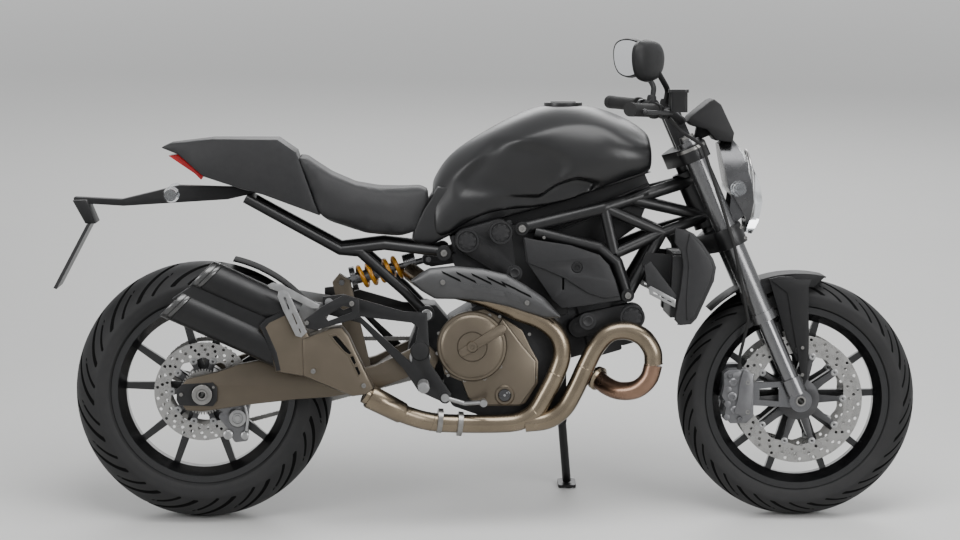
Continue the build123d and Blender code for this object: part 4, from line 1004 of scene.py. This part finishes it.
def makeMirrors():
    for side, label in ((-1, "Right"), (1, "Left")):
        bend, end = [onFork(up, ahead, side * out)
                     for up, ahead, out in (mirrorMake["bend"], mirrorMake["end"])]
        run = (end - bend).normalized()
        perch = bend + run * mirrorMake["along"]
        turn = math.radians(mirrorMake["turn"])
        ahead = Vector((math.cos(turn), side * math.sin(turn), 0))
        aside = Vector((-math.sin(turn), side * math.cos(turn), 0))
        x, y, z = mirrorMake["glass"]
        centre, outline = Vector((x, side * y, z)), rounded(mirrorMake["corners"])

        def ringOf(depth, share):
            return [centre + ahead * depth + aside * a * share + Vector((0, 0, 1)) * b * share
                    for a, b in outline]

        shell = meshFrom(*skin([ringOf(depth, share) for depth, share in mirrorMake["rings"]]))
        foot, knee = perch + Vector((2, 0, 14)), perch + Vector((8, side * 10, 52))
        top = centre + ahead * 24 - aside * 18 + Vector((0, 0, -22))
        clamp = [(0, 11.4), (0, 19), (1, 20), (21, 20), (22, 19), (22, 11.4)]
        way = [foot, foot.lerp(knee, 0.5), knee, knee.lerp(top, 0.5), top]
        stalk = [pipe(way, 7, resolution=5, smoothWay=True),
                 turned(perch - run * 11, run, clamp, closed=False),
                 turned(perch + Vector((1, 0, 8)), (0, 0, 1), [(0, 13), (16, 12), (22, 9)], segments=24)]
        seatPiece([shell, *stalk], "mirror" + label, "plastic_black", "steering", replaced=["mirrors"])
        pane = meshFrom(*skin([ringOf(-1.9, 0.93), ringOf(-1.2, 0.93)]))
        seatPiece(pane, "mirrorGlass" + label, "plastic_black", "steering", finishes["mirror_glass"],
                  ["mirrors"])


makeMirrors()


# Headlight insides, seen through its lens

lampMake = {"centre": (1375, 826), "rings": [(0, 1.0), (7, 0.78), (13, 0.5)], "wire": 3.2}


def makeLampInside():
    x, z = lampMake["centre"]
    parts = []
    for inset, reach in lampMake["rings"]:
        loop = [(x - inset - 26 * ((math.sin(turn) * 92 * reach - 10) / 120) ** 2,
                 math.cos(turn) * 70 * reach, z + math.sin(turn) * 96 * reach)
                for turn in circle(40)]
        parts.append(pipe(loop, lampMake["wire"], cyclic=True))
    parts.append(turned((x - 20, 0, z + 24), (1, 0, 0), [(0, 30), (16, 32), (24, 26), (28, 12)]))
    parts.append(turned((x - 16, 0, z - 40), (1, 0, 0), [(0, 26), (14, 28), (22, 22), (25, 10)]))
    seatPiece(parts, "lampRings", "alloy", "steering", material=tipSilver)


makeLampInside()


# Radiator fins

finMake = {"count": 30, "lowest": 514, "pitch": 5.1}


def makeFins():
    fins = []
    for step in range(finMake["count"]):
        z = finMake["lowest"] + step * finMake["pitch"]
        fins.append(((1197.6 + (z - 508) / 20, 0, z), (0, 0, 1), (1, 0, 0), 1.0))
    rings = [[(a, b, c) for a, b in ((-2, -116), (2, -116), (2, 116), (-2, 116))] for c in (-0.5, 0.5)]
    mesh = repeated(partFrom("fin", *skin(rings)), fins, finishes["alloy"])
    seatPiece(mesh, "radiatorFins", "plastic_black", material=finishes["alloy"], smooth=False)


makeFins()


# Clamps, bands and screws

clampMake = {
    "band": [(0, 26), (1, 30.5), (13, 30.5), (14, 26)], "onPipe": [(596, 255), (646, 247)],
}


def makeClamps():
    bands = [turned((x, -158.5, z), (-1, -0.06, 0.1), clampMake["band"])
             for x, z in clampMake["onPipe"]]
    seatPiece(bands, "pipeClamps", "header_steel", material=finishes["bare_steel"])
    legWay, bands = onFork(1) - onFork(0), []
    for side in (-100, 100):
        bands.append(turned(onFork(236, 0, side), legWay, [(0, 36), (1, 39.4), (9, 39.4), (10, 36)]))
        bands.append(turned(onFork(268, 0, side), legWay, [(0, 19), (6, 19), (7, 17.5), (7, 9), (2, 8)]))
    seatPiece(bands, "forkBands", "fork_grey", "steering", finishes["bare_steel"])
    spots = [onFork(up, 34) for up in (-14, 14)]
    screwsAt("yokeScrews", [(spot.x, side * 139.24, spot.z, 0.9) for spot in spots for side in (-1, 1)],
             "steering")


makeClamps()


def screwCircle(centre, reach, side, size, first, step, count):  # evenly turned round a cover
    turns = [math.radians(first + number * step) for number in range(count)]
    return [(centre[0] + reach * math.cos(turn), side, centre[1] + reach * math.sin(turn), size)
            for turn in turns]


screwMake = {
    "clutchEdge": [(664, -150.5, 318, 0.9), (610, -150.5, 368, 0.9), (596, -150.5, 470, 0.9),
                   (646, -150.5, 518, 0.9), (738, -150.5, 514, 0.9), (812, -150.5, 470, 0.9),
                   (826, -150.5, 362, 0.9)],
    "frame": [(794, -146, 732, 2.0), (1058, -130, 564, 1.8), (600, -126, 670, 1.8),
              (557, -126, 519, 1.8), (538, -151, 412, 2.2), (848, -147, 710, 0.8)],
}
screwsAt("clutchScrews", screwCircle((669, 442), 88, -158.5, 0.95, 60, 33, 9) + screwMake["clutchEdge"])
screwsAt("frameScrews", screwMake["frame"])
screwsAt("frameScrewsLeft", bothSides(screwMake["frame"])[len(screwMake["frame"]):])
screwsAt("generatorScrews", screwCircle((775, 420), 94, 154, 0.9, 22.5, 45, 8))
x, z = frontAxle
screwsAt("fenderScrews", bothSides([(x + 8, -88, z + 130, 0.9), (x + 8, -88, z + 62, 0.9)]), "steering")
screwsAt("caliperScrews", bothSides([(x - 130, -100, z + 44, 1.3), (x - 130, -100, z - 30, 1.3)]),
         "steering")
print("fittings placed")


# Exhaust headers: smooth pipes through their bends, with weld beads and a heat tint

def throughPoints(points, steps=8):  # a smooth line through every point
    points = [Vector(point) for point in points]
    ends = [points[0] * 2 - points[1], *points, points[-1] * 2 - points[-2]]
    line = []
    for before, here, ahead, after in zip(ends, ends[1:], ends[2:], ends[3:]):
        for step in range(steps):
            t = step / steps
            line.append(0.5 * (2 * here + (ahead - before) * t
                               + (2 * before - 5 * here + 4 * ahead - after) * t * t
                               + (3 * here - before - 3 * ahead + after) * t ** 3))
    return [*line, points[-1]]


headers = {
    "radius": 23,
    "rear": [(520, -60, 618), (548, -110, 602), (600, -150, 588), (700, -163, 562), (783, -164, 527),
             (843, -165, 503), (882, -165, 467), (892, -165, 420), (878, -165, 372), (852, -164, 320),
             (826, -162, 278), (790, -160, 255), (740, -158, 248), (640, -158, 248), (570, -162, 253),
             (510, -172, 270), (452, -184, 297), (404, -192, 326)],
    "loop": [(985, -66, 352), (1010, -96, 334), (1042, -124, 325), (1080, -146, 332), (1108, -156, 358),
             (1120, -159, 395)],
    "front": [(1120, -159, 395), (1117, -160, 428), (1094, -160, 462), (1054, -160, 479), (1010, -160, 472),
              (977, -160, 438), (950, -160, 386), (924, -160, 330), (896, -161, 284), (856, -161, 257),
              (800, -160, 249)],
    "beads": [("front", 0), ("front", 6), ("rear", 8), ("rear", 10), ("rear", 14)],
}
heatTint = surface("heatTint", (0.24, 0.15, 0.105), 0.28, metal=0.95, grain=16, fine=60, bump=0.06,
                   vary=0.45, dust=0.02)


def makeHeaders():
    pipes = [pipe(throughPoints(headers["rear"]), headers["radius"], resolution=7),
             pipe(throughPoints(headers["front"]), headers["radius"], resolution=7)]
    seatPiece(pipes, "headers", "header_steel", replaced=["exhaust_headers"])
    loop = pipe(throughPoints(headers["loop"]), headers["radius"], resolution=7)
    seatPiece(loop, "headerLoop", "header_steel", material=heatTint, replaced=["exhaust_headers"])
    beads = []
    for line, spot in headers["beads"]:
        here, ahead = Vector(headers[line][spot]), Vector(headers[line][spot + 1])
        way = (ahead - here).normalized()
        beads.append(turned(here, way, [(-1.6, 22), (-1.2, 23.6), (0, 24.1), (1.2, 23.6), (1.6, 22)]))
    seatPiece(beads, "weldBeads", "header_steel")
    collars = [turned((500, -174, 274), (-96, -18, 52), [(0, 23), (6, 27), (60, 29), (96, 30), (100, 28)]),
               turned((982, -64, 354), (0.7, -0.62, -0.36), [(0, 30), (10, 31), (12, 28), (16, 24)])]
    seatPiece(collars, "pipeCollars", "header_steel")


makeHeaders()
print("headers bent")


# Heat shield: a bulged sheet with louvres

shield = {
    "upper": [(518, 607), (540, 624), (562, 637), (622, 643), (693, 636), (753, 622), (801, 595),
              (849, 562), (886, 520)],
    "lower": [(518, 603), (541, 582), (577, 561), (640, 560), (705, 553), (759, 541), (807, 526),
              (855, 512), (886, 514)],
    "side": 186, "bulge": 17, "thick": 2.5,
    "louvres": [(600, 630, 46), (636, 628, 48), (674, 624, 48), (712, 616, 46), (748, 604, 42),
                (784, 586, 36)],
    "pads": [(640, 594), (679, 589), (718, 580), (757, 567)], "screws": [(596, 603), (804, 552)],
}


def alongLine(line, x):
    for (ax, az), (bx, bz) in zip(line, line[1:]):
        if ax <= x <= bx:
            return az + (bz - az) * (x - ax) / max(bx - ax, 1e-6)
    return line[-1][1]


def shieldSide(x, z):
    high, low = alongLine(shield["upper"], x), alongLine(shield["lower"], x)
    share = (z - low) / max(high - low, 1)
    swell = max(0, 1 - (2 * share - 1) ** 2) ** 0.6
    return -(shield["side"] + shield["bulge"] * swell)


def patchOn(corners, lift, columns=8, rows=3):  # a raised patch that follows the bulged sheet
    a, b, c, d = [Vector(corner) for corner in corners]
    spots = [[a.lerp(b, column / columns).lerp(d.lerp(c, column / columns), row / rows)
              for column in range(columns + 1)] for row in range(rows + 1)]
    return meshFrom(*plate([[[(spot.x, shieldSide(*spot) - depth, spot.y) for spot in line]
                             for line in spots] for depth in (lift, -1.5)]))


def makeShield():
    columns, rows = 72, 14
    start, end = shield["upper"][0][0], shield["upper"][-1][0]
    spots = []
    for column in range(columns + 1):
        x = start + (end - start) * column / columns
        high, low = alongLine(shield["upper"], x), alongLine(shield["lower"], x)
        spots.append([(x, low + (high - low) * (0.5 - 0.5 * math.cos(math.pi * row / rows)))
                      for row in range(rows + 1)])
    sheet = meshFrom(*plate([[[(x, shieldSide(x, z) + depth, z) for x, z in line] for line in spots]
                             for depth in (0, shield["thick"])]))
    pads = []
    for x, z in shield["pads"]:
        corners = [(x - 8, z + 11), (x + 24, z + 4), (x + 34, z - 14), (x + 4, z - 8)]
        pads.append(patchOn(corners, 1.3))
    seatPiece([sheet, *pads], "heatShield", "silencer_black", material=shieldGrey, replaced=["heat_shield"],
              angle=50)
    # the louvres are near-black patches raised a little off the sheet: painted shade
    slits = []
    for x, z, length in shield["louvres"]:
        drop = length * 0.48
        slits.append(patchOn([(x - 8, z + 2), (x - 8 + length, z + 2 - drop),
                              (x - 4 + length, z - 5 - drop), (x - 4, z - 5)], 0.35))
    seatPiece(slits, "shieldSlits", "silencer_black", material=paintedShade)
    screwsAt("shieldScrews", [(x, shieldSide(x, z), z, 1.3) for x, z in shield["screws"]])


shieldGrey = surface("shieldGrey", (0.055, 0.055, 0.056), 0.36, metal=0.35, grain=35, bump=0.12, dust=0.02)
makeShield()


# Clutch cover: a turned face, its rib and the sight glass

clutchMake = {
    "centre": (669, 442), "sight": (750, 319),
    "rings": [(0, 86), (2, 87), (14, 87), (18, 84), (19, 79), (21, 77.5), (24, 70), (27, 44), (27.5, 38),
              (25.5, 37), (25.5, 36), (28, 35), (28.2, 15), (33, 13.5), (36, 12), (36, 6), (31, 5)],
    "ends": ((-27, 7.5), (84, 9.5)),
    "outline": [(600, 484), (640, 516), (700, 530), (753, 504), (792, 478), (815, 430), (831, 402),
                (831, 350), (800, 300), (786, 294), (690, 294), (664, 310), (652, 352), (604, 372),
                (590, 430)],
    "low": [(640, 380), (664, 316), (690, 300), (786, 300), (822, 350), (822, 402), (790, 440),
            (745, 500), (700, 440)],
}


def makeClutchFace():
    x, z = clutchMake["centre"]
    face = turned((x, -159, z), rightward, clutchMake["rings"], segments=72)
    turn, rib = math.radians(31), []
    for (away, radius), start in zip(clutchMake["ends"], (math.pi / 2, -math.pi / 2)):
        for step in range(9):
            angle = start + step * math.pi / 8
            rib.append((x + away * math.cos(turn) + radius * math.cos(angle + turn),
                        z + away * math.sin(turn) + radius * math.sin(angle + turn)))
    bar = flatForm([rib], 180, 192.5, 3)
    seatPiece([face, bar], "clutchFace", "cover_bronze", replaced=["clutch_cover"])
    plates = [flatForm([clutchMake["outline"]], 132.5, 150, 3), flatForm([clutchMake["low"]], 140, 163, 6)]
    x, z = clutchMake["sight"]
    plates.append(turned((x, -158, z), rightward, [(0, 26), (6, 25), (9, 22), (9, 17), (5, 16)]))
    seatPiece(plates, "clutchPlate", "cover_bronze", replaced=["clutch_cover"])
    window = turned((x, -160, z), rightward, [(0, 15), (4, 15), (5, 13)])
    seatPiece(window, "sightGlass", "cover_bronze", material=finishes["screen"])
    # two small bright discs on the sight glass, one offset up and to the right: painted glints
    glints = [turned((x, -164, z), rightward, [(0, 3), (1.6, 3)]),
             turned((x + 6, -164, z + 6), rightward, [(0, 2), (1.6, 2)])]
    seatPiece(glints, "sightMark", "cover_bronze", material=finishes["alloy"])


makeClutchFace()


# Belt pulleys' toothed covers, frame nuts and pivots

def starCap(x, z, side, radius, height=4):
    profile = ((0.62, 0.0), (0.8, 0.1), (0.8, 0.36), (0.62, 0.46))
    points = [(x + radius * share * math.cos(turn + shift), z + radius * share * math.sin(turn + shift))
              for turn in circle(8) for share, shift in profile]
    rim = [(0, 1.08), (height, 1.05), (height, 0.9), (0.2, 0.86), (0.2, 0.3)]
    hub = [(0, radius * 0.36), (height * 0.7, radius * 0.34), (height * 0.7, 2)]
    return [turned((x, -side, z), rightward, [(along, radius * share) for along, share in rim]),
            flatForm([points], side, side + height * 0.6, 0.6), turned((x, -side, z), rightward, hub)]


capMake = {
    "stars": [(658, 702, 151, 27), (741, 723, 151, 27), (1068, 511, 151, 29)],
    "knobs": [(775, 622, 150, 13), (957, 502, 150, 14)],
    "pivots": [(540, 414, 155, 17), (557, 519, 152, 9)],
    "knob": [(0, 1.5), (2, 1.5), (2, 1), (4, 1), (5, 0.8), (3, 0.5)],
    "pivot": [(0, 1.5), (5, 1.5), (6, 1.3), (5, 1.05), (8, 1), (8, 0.7), (6, 0.6), (6, 0.3)],
}


def makeCaps():
    caps = []
    for x, z, side, radius in capMake["stars"]:
        caps += starCap(x, z, side, radius)
    for x, z, side, radius in capMake["knobs"]:
        knob = [(along, radius * share) for along, share in capMake["knob"]]
        caps.append(turned((x, -side, z), rightward, knob))
    seatPiece(caps, "beltCaps", "engine_grey")
    nuts = [turned((x, -side, z), rightward, [(along, radius * share) for along, share in capMake["pivot"]])
            for x, z, side, radius in capMake["pivots"]]
    seatPiece(nuts, "framePivots", "bare_steel", material=finishes["alloy"])


makeCaps()


# Fillers under the tank: its skirt, the airbox and the cables along the frame

skirtMake = {
    "outline": [(590, 826), (574, 800), (556, 772), (535, 726), (531, 704), (540, 697), (569, 697),
                (641, 733), (768, 769), (840, 788), (900, 806), (1000, 838), (1090, 868), (1040, 880),
                (900, 850), (760, 830)],
    "box": [(640, 712), (700, 742), (820, 776), (930, 808), (1030, 842), (1095, 862), (1112, 820),
            (1080, 740), (1010, 690), (960, 640), (880, 620), (800, 660), (720, 640)],
    "cables": [(-96, 0), (-102, 12), (-84, 26)],
}


def makeSkirt():
    seatPiece(flatForm([skirtMake["outline"]], -88, 88, 8), "tankSkirt", "tank_black")
    seatPiece(flatForm([skirtMake["box"]], -60, 60, 10), "airbox", "plastic_black")
    cables = []
    for side, shift in skirtMake["cables"]:
        path = throughPoints([(1112, side, 842 - shift), (1040, side, 810 - shift),
                              (940, side - 4, 770 - shift), (850, side, 736 - shift),
                              (800, side + 20, 700 - shift)])
        cables.append(pipe(path, 3.2, resolution=3))
    seatPiece(cables, "frameCables", "plastic_black")


makeSkirt()


# Instrument, tilted to the rider

instrumentMake = {
    "body": [(1216, 996), (1221, 1004), (1268, 1042), (1276, 1045), (1290, 1034), (1322, 966),
             (1319, 948), (1284, 952), (1262, 978), (1226, 988)],
    "stay": [(1232, 944), (1250, 952), (1284, 966), (1268, 988), (1240, 986)],
    "corners": ((0, -58), (0, 58), (8, 64), (44, 64), (50, 58), (50, -58), (44, -64), (8, -64)),
}


def makeInstrument():
    parts = [flatForm([instrumentMake["body"]], -72, 72, 5), flatForm([instrumentMake["stay"]], -20, 20, 1)]
    seatPiece(parts, "instrumentCase", "screen", "steering", material=finishes["plastic_black"],
              replaced=["instrument"])
    foot = Vector((1224, 0, 1007.2))
    along = Vector((44, 0, 36)).normalized()
    out = Vector((-along.z, 0, along.x))
    pane = meshFrom(*skin([[foot + along * a + Vector((0, b, 0)) + out * rise
                            for a, b in instrumentMake["corners"]] for rise in (-1, 1.4)]))
    seatPiece(pane, "instrumentScreen", "screen", "steering", replaced=["instrument"])


makeInstrument()


# Front callipers, and the rear one's pistons and hose

calliperMake = {
    "face": [(-140, 73), (-120, 64), (-118, 36), (-122, -4), (-127, -32), (-145, -38), (-162, -30),
             (-152, 6), (-149, 42)],
    "back": [(-188, 66), (-176, 74), (-134, 76), (-118, 60), (-118, -40), (-134, -56), (-172, -56),
             (-186, -40), (-180, -10), (-192, 10), (-186, 40)],
    "bridge": [(-186, 56), (-178, 66), (-150, 70), (-150, 58), (-176, 50)],
    "bosses": [(-166, 44, 11), (-168, 8, 12), (-162, -26, 11), (-150, -48, 7), (-174, 62, 7)],
    "bolts": [60, 26, -10, -44],
    "pistons": [(86, -64, [(0, 24), (10, 24), (14, 21), (15, 14), (13, 12), (13, 8), (16, 7), (16, 3)]),
                (62, -106, [(0, 12), (9, 12), (11, 9)]), (104, -108, [(0, 10), (9, 10), (11, 7)])],
    "hose": [(104, -110, -30), (112, -112, -60), (108, -110, -96)],
}


def makeCallipers():
    x, z = frontAxle
    faceForm, backForm, bridgeForm = [[(x + a, z + b) for a, b in calliperMake[label]]
                                      for label in ("face", "back", "bridge")]
    for side in (-1, 1):
        forms = [flatForm([backForm], *apart(side, 76, 98), 3),
                 flatForm([faceForm], *apart(side, 96, 106), 2.5),
                 flatForm([backForm], *apart(side, 50, 63), 3)]
        for dx, dz, radius in calliperMake["bosses"]:
            forms.append(turned((x + dx, side * 95, z + dz), (0, side, 0),
                                [(0, radius), (7, radius), (9, radius * 0.75), (9, radius * 0.4),
                                 (6, radius * 0.4)], segments=24))
        for dz in calliperMake["bolts"]:
            forms.append(flatForm([ring((x - 180 + dz * 0.06, z + dz), 7, 20)], *apart(side, 48, 100), 1))
        forms.append(flatForm([bridgeForm], *apart(side, 50, 100), 2))
        label = "Left" if side > 0 else "Right"
        seatPiece(forms, "calliper" + label, "calliper_grey", "steering", replaced=["front_calipers"])
    rx, rz = rearAxle
    piston = [turned((rx + dx, -99, rz + dz), rightward, rings) for dx, dz, rings in calliperMake["pistons"]]
    piston.append(pipe([(rx + dx, y, rz + dz) for dx, y, dz in calliperMake["hose"]], 4))
    seatPiece(piston, "rearPiston", "calliper_grey", material=finishes["alloy"])


makeCallipers()


# Swingarm, one smooth casting on each side

swingarmMake = {
    "outline": [(-44, -28), (-38, -37), (0, -39), (40, -34), (120, -22), (230, -10), (318, -4), (430, 14),
                (524, 50), (572, 60), (586, 92), (560, 116), (520, 108), (430, 66), (330, 44), (250, 52),
                (200, 60), (140, 80), (90, 70), (40, 52), (-36, 34), (-44, 24)],
}


def makeSwingarm():
    x, z = rearAxle
    outline, hole = [(x + a, z + b) for a, b in swingarmMake["outline"]], ring(rearAxle, 22.5, 40)
    for side in (-1, 1):
        mesh = flatForm([outline, hole], *apart(side, 120, 148), 4)
        seatPiece(mesh, "swingarm" + ("Left" if side > 0 else "Right"), "swingarm_bronze",
                  replaced=["swingarm"])


makeSwingarm()


# Side covers with their raised edges, and the radiator's shrouds

coverMake = {
    "cap": [(0, 15), (9, 15), (12, 12), (12, 7), (9, 6)],
    "band": [(1107, 586), (1112, 590), (1174, 556), (1172, 538), (1110, 570)],
    "inner": [(1098, 640), (1112, 650), (1180, 560), (1174, 548), (1104, 590)],
    "slot": [(891, 577), (901, 577), (901, 620), (891, 620)],
    "base": [(800, 708), (835, 700), (912, 688), (984, 664), (1008, 640), (1024, 600), (1036, 556),
             (1010, 552), (930, 540), (893, 537), (872, 556), (806, 653)],
    "raised": [(802, 706), (835, 700), (912, 688), (984, 664), (1006, 640), (1021, 600), (1031, 566),
               (1000, 562), (960, 574), (900, 612), (850, 634), (812, 648)],
    "shroud": [(1176, 729), (1200, 724), (1216, 716), (1236, 694), (1262, 656), (1269, 636), (1264, 604),
               (1222, 512), (1210, 500), (1186, 498), (1176, 508), (1190, 580), (1197, 640), (1192, 676),
               (1176, 700)],
    "lip": [(1210, 712), (1232, 690), (1256, 654), (1262, 634), (1256, 604), (1216, 516), (1206, 512),
            (1204, 560), (1210, 640), (1204, 684)],
    "backing": [(1180, 494), (1200, 494), (1204, 560), (1210, 640), (1200, 722), (1178, 726),
                (1196, 640)],
    "shade": [(770, 735), (830, 735), (905, 650), (905, 520), (830, 500), (790, 560), (780, 650)],
}


def makeSideCovers():
    parts, caps, strips = [], [], []
    for side in (-1, 1):
        parts += [flatForm([coverMake["base"], coverMake["slot"]], *apart(side, 138.4, 147), 3),
                  flatForm([coverMake["raised"], ring((930, 636), 17, 32)], *apart(side, 144, 154), 3.5),
                  flatForm([coverMake["backing"]], *apart(side, 156, 163), 1),
                  flatForm([coverMake["shroud"]], *apart(side, 160, 176), 5),
                  flatForm([coverMake["lip"]], *apart(side, 172, 182), 5)]
        caps.append(turned((930, side * 142, 636), (0, side, 0), coverMake["cap"], segments=32))
        holes = [[(1118 + step * 17, 577 - step * 9.4), (1130 + step * 17, 571 - step * 9.4),
                  (1130 + step * 17, 566 - step * 9.4), (1118 + step * 17, 572 - step * 9.4)]
                 for step in range(3)]
        strips.append(flatForm([coverMake["band"], *holes], *apart(side, 163, 168), 0.8))
        strips.append(flatForm([coverMake["inner"]], *apart(side, 152, 162), 1))
    seatPiece(parts, "sideCovers", "plastic_grey", replaced=["side_covers"])
    seatPiece(caps, "coverCaps", "plastic_grey", material=finishes["plastic_black"],
              replaced=["side_covers"])
    shell, strip = [strips[1], strips[3]], [strips[0], strips[2]]
    seatPiece(strip, "shroudStrip", "plastic_grey", material=finishes["alloy"], replaced=["side_covers"])
    seatPiece(shell, "shroudInside", "plastic_grey", replaced=["side_covers"])
    # a near-black sheet across the frame behind the side covers: painted shade
    seatPiece(flatForm([coverMake["shade"]], -112, 112, 4), "innerShade", "plastic_black")


makeSideCovers()


# Front fender's side plates

fenderMake = {
    "places": [(1478, 500), (1488, 420)],
    "bolt": [(0, 9), (2.5, 9), (3.5, 7), (3.5, 4), (2, 3.5)],
    "outline": [(1417, 600), (1440, 606), (1470, 605), (1511, 582), (1514, 470), (1513, 400), (1500, 388),
                (1486, 398), (1462, 450), (1440, 522)],
}


def makeFenderPlates():
    plates, bolts = [], []
    for side in (-1, 1):
        plates.append(flatForm([fenderMake["outline"]], *apart(side, 77, 83.5), 2))
        for x, z in fenderMake["places"]:
            bolts.append(turned((x, side * 83, z), (0, side, 0), fenderMake["bolt"], segments=24))
    seatPiece(plates + bolts, "fenderPlates", "plastic_black", "steering", angle=25)


makeFenderPlates()
print("details placed")


# Camera, floor and light

view = {"lens": 141.8, "aside": 1.515, "down": 3.873, "place": (442, -9500, 1263)}


def placeCamera():
    camera = linked("camera", bpy.data.cameras.new("camera"))
    camera.data.lens, camera.data.sensor_width = view["lens"], 36
    aside, down = math.radians(view["aside"]), math.radians(view["down"])
    ahead = Vector((math.sin(aside) * math.cos(down), math.cos(aside) * math.cos(down), -math.sin(down)))
    right = ahead.cross(Vector((0, 0, 1))).normalized()
    turn = Matrix((forward, sideways, upright)).transposed()
    columns = [turn @ right, turn @ right.cross(ahead), turn @ -ahead]
    camera.matrix_world = Matrix(columns).transposed().to_4x4()
    camera.location = toWorld @ Vector(view["place"])
    camera.data.clip_end = 60
    bpy.context.scene.camera = camera


def softLight(name, place, size, power):
    light = linked(name, bpy.data.lights.new(name, "AREA"))
    light.data.shape, light.data.size, light.data.size_y = "RECTANGLE", *size
    light.data.energy = power
    light.location = place
    light.rotation_euler = (Vector((0, 0, 0.5)) - Vector(place)).to_track_quat("-Z", "Y").to_euler()


def seenRays(tree):  # 1 where the camera, a mirror or glass looks
    rays = added(tree, "ShaderNodeLightPath")
    shown, reflected = [added(tree, "ShaderNodeMath", operation="MAXIMUM") for use in range(2)]
    wire(tree, (rays, "Is Glossy Ray", reflected, 0), (rays, "Is Transmission Ray", reflected, 1),
         (rays, "Is Camera Ray", shown, 0), (reflected, "Value", shown, 1))
    return shown


def setWorld(seen, lit):  # pale where it is seen or mirrored, and darker where it lights
    world = bpy.data.worlds.new("studio")
    world.use_nodes = True
    tree = world.node_tree
    choice = added(tree, "ShaderNodeMix", data_type="RGBA", A=(*lit, 1), B=(*seen, 1))
    wire(tree, (seenRays(tree), "Value", choice, "Factor"),
         (choice, "Result", tree.nodes["Background"], "Color"))
    bpy.context.scene.world = world


def fadeFloor(tree):  # the far floor pales into the background, and keeps the shadow near the machine
    place = added(tree, "ShaderNodeTexCoord")
    length = added(tree, "ShaderNodeVectorMath", operation="LENGTH")
    far = added(tree, "ShaderNodeMapRange", interpolation_type="SMOOTHSTEP",
                **{"From Min": 1.5, "From Max": 14, "To Max": 0.6})
    glow = added(tree, "ShaderNodeMath", operation="MULTIPLY")
    shader = tree.nodes["Principled BSDF"]
    shader.inputs["Emission Color"].default_value = (1, 1, 1, 1)
    wire(tree, (place, "Object", length, 0), (length, "Value", far, "Value"), (far, "Result", glow, 0),
         (seenRays(tree), "Value", glow, 1), (glow, "Value", shader, "Emission Strength"))


def layFloor():
    bpy.ops.mesh.primitive_plane_add(size=60)
    floor = bpy.context.object
    floor.name = "floor"
    paint = surface("floorPaint", (0.62, 0.62, 0.61), 0.6, grain=2, bump=0.02, vary=0.03, dust=0.02)
    fadeFloor(paint.node_tree)
    floor.data.materials.append(paint)


placeCamera()
layFloor()
setWorld((0.82, 0.83, 0.84), (0.36, 0.365, 0.37))
softLight("overhead", (0.6, -1.2, 4.4), (4.5, 2.4), 210)
softLight("frontSide", (3.4, -3.6, 2.3), (2.4, 2.0), 120)
softLight("rearSide", (-3.8, -2.6, 2.0), (1.8, 1.8), 70)
softLight("farSide", (0.5, 4.2, 2.6), (3.5, 1.6), 90)
print("stage set")
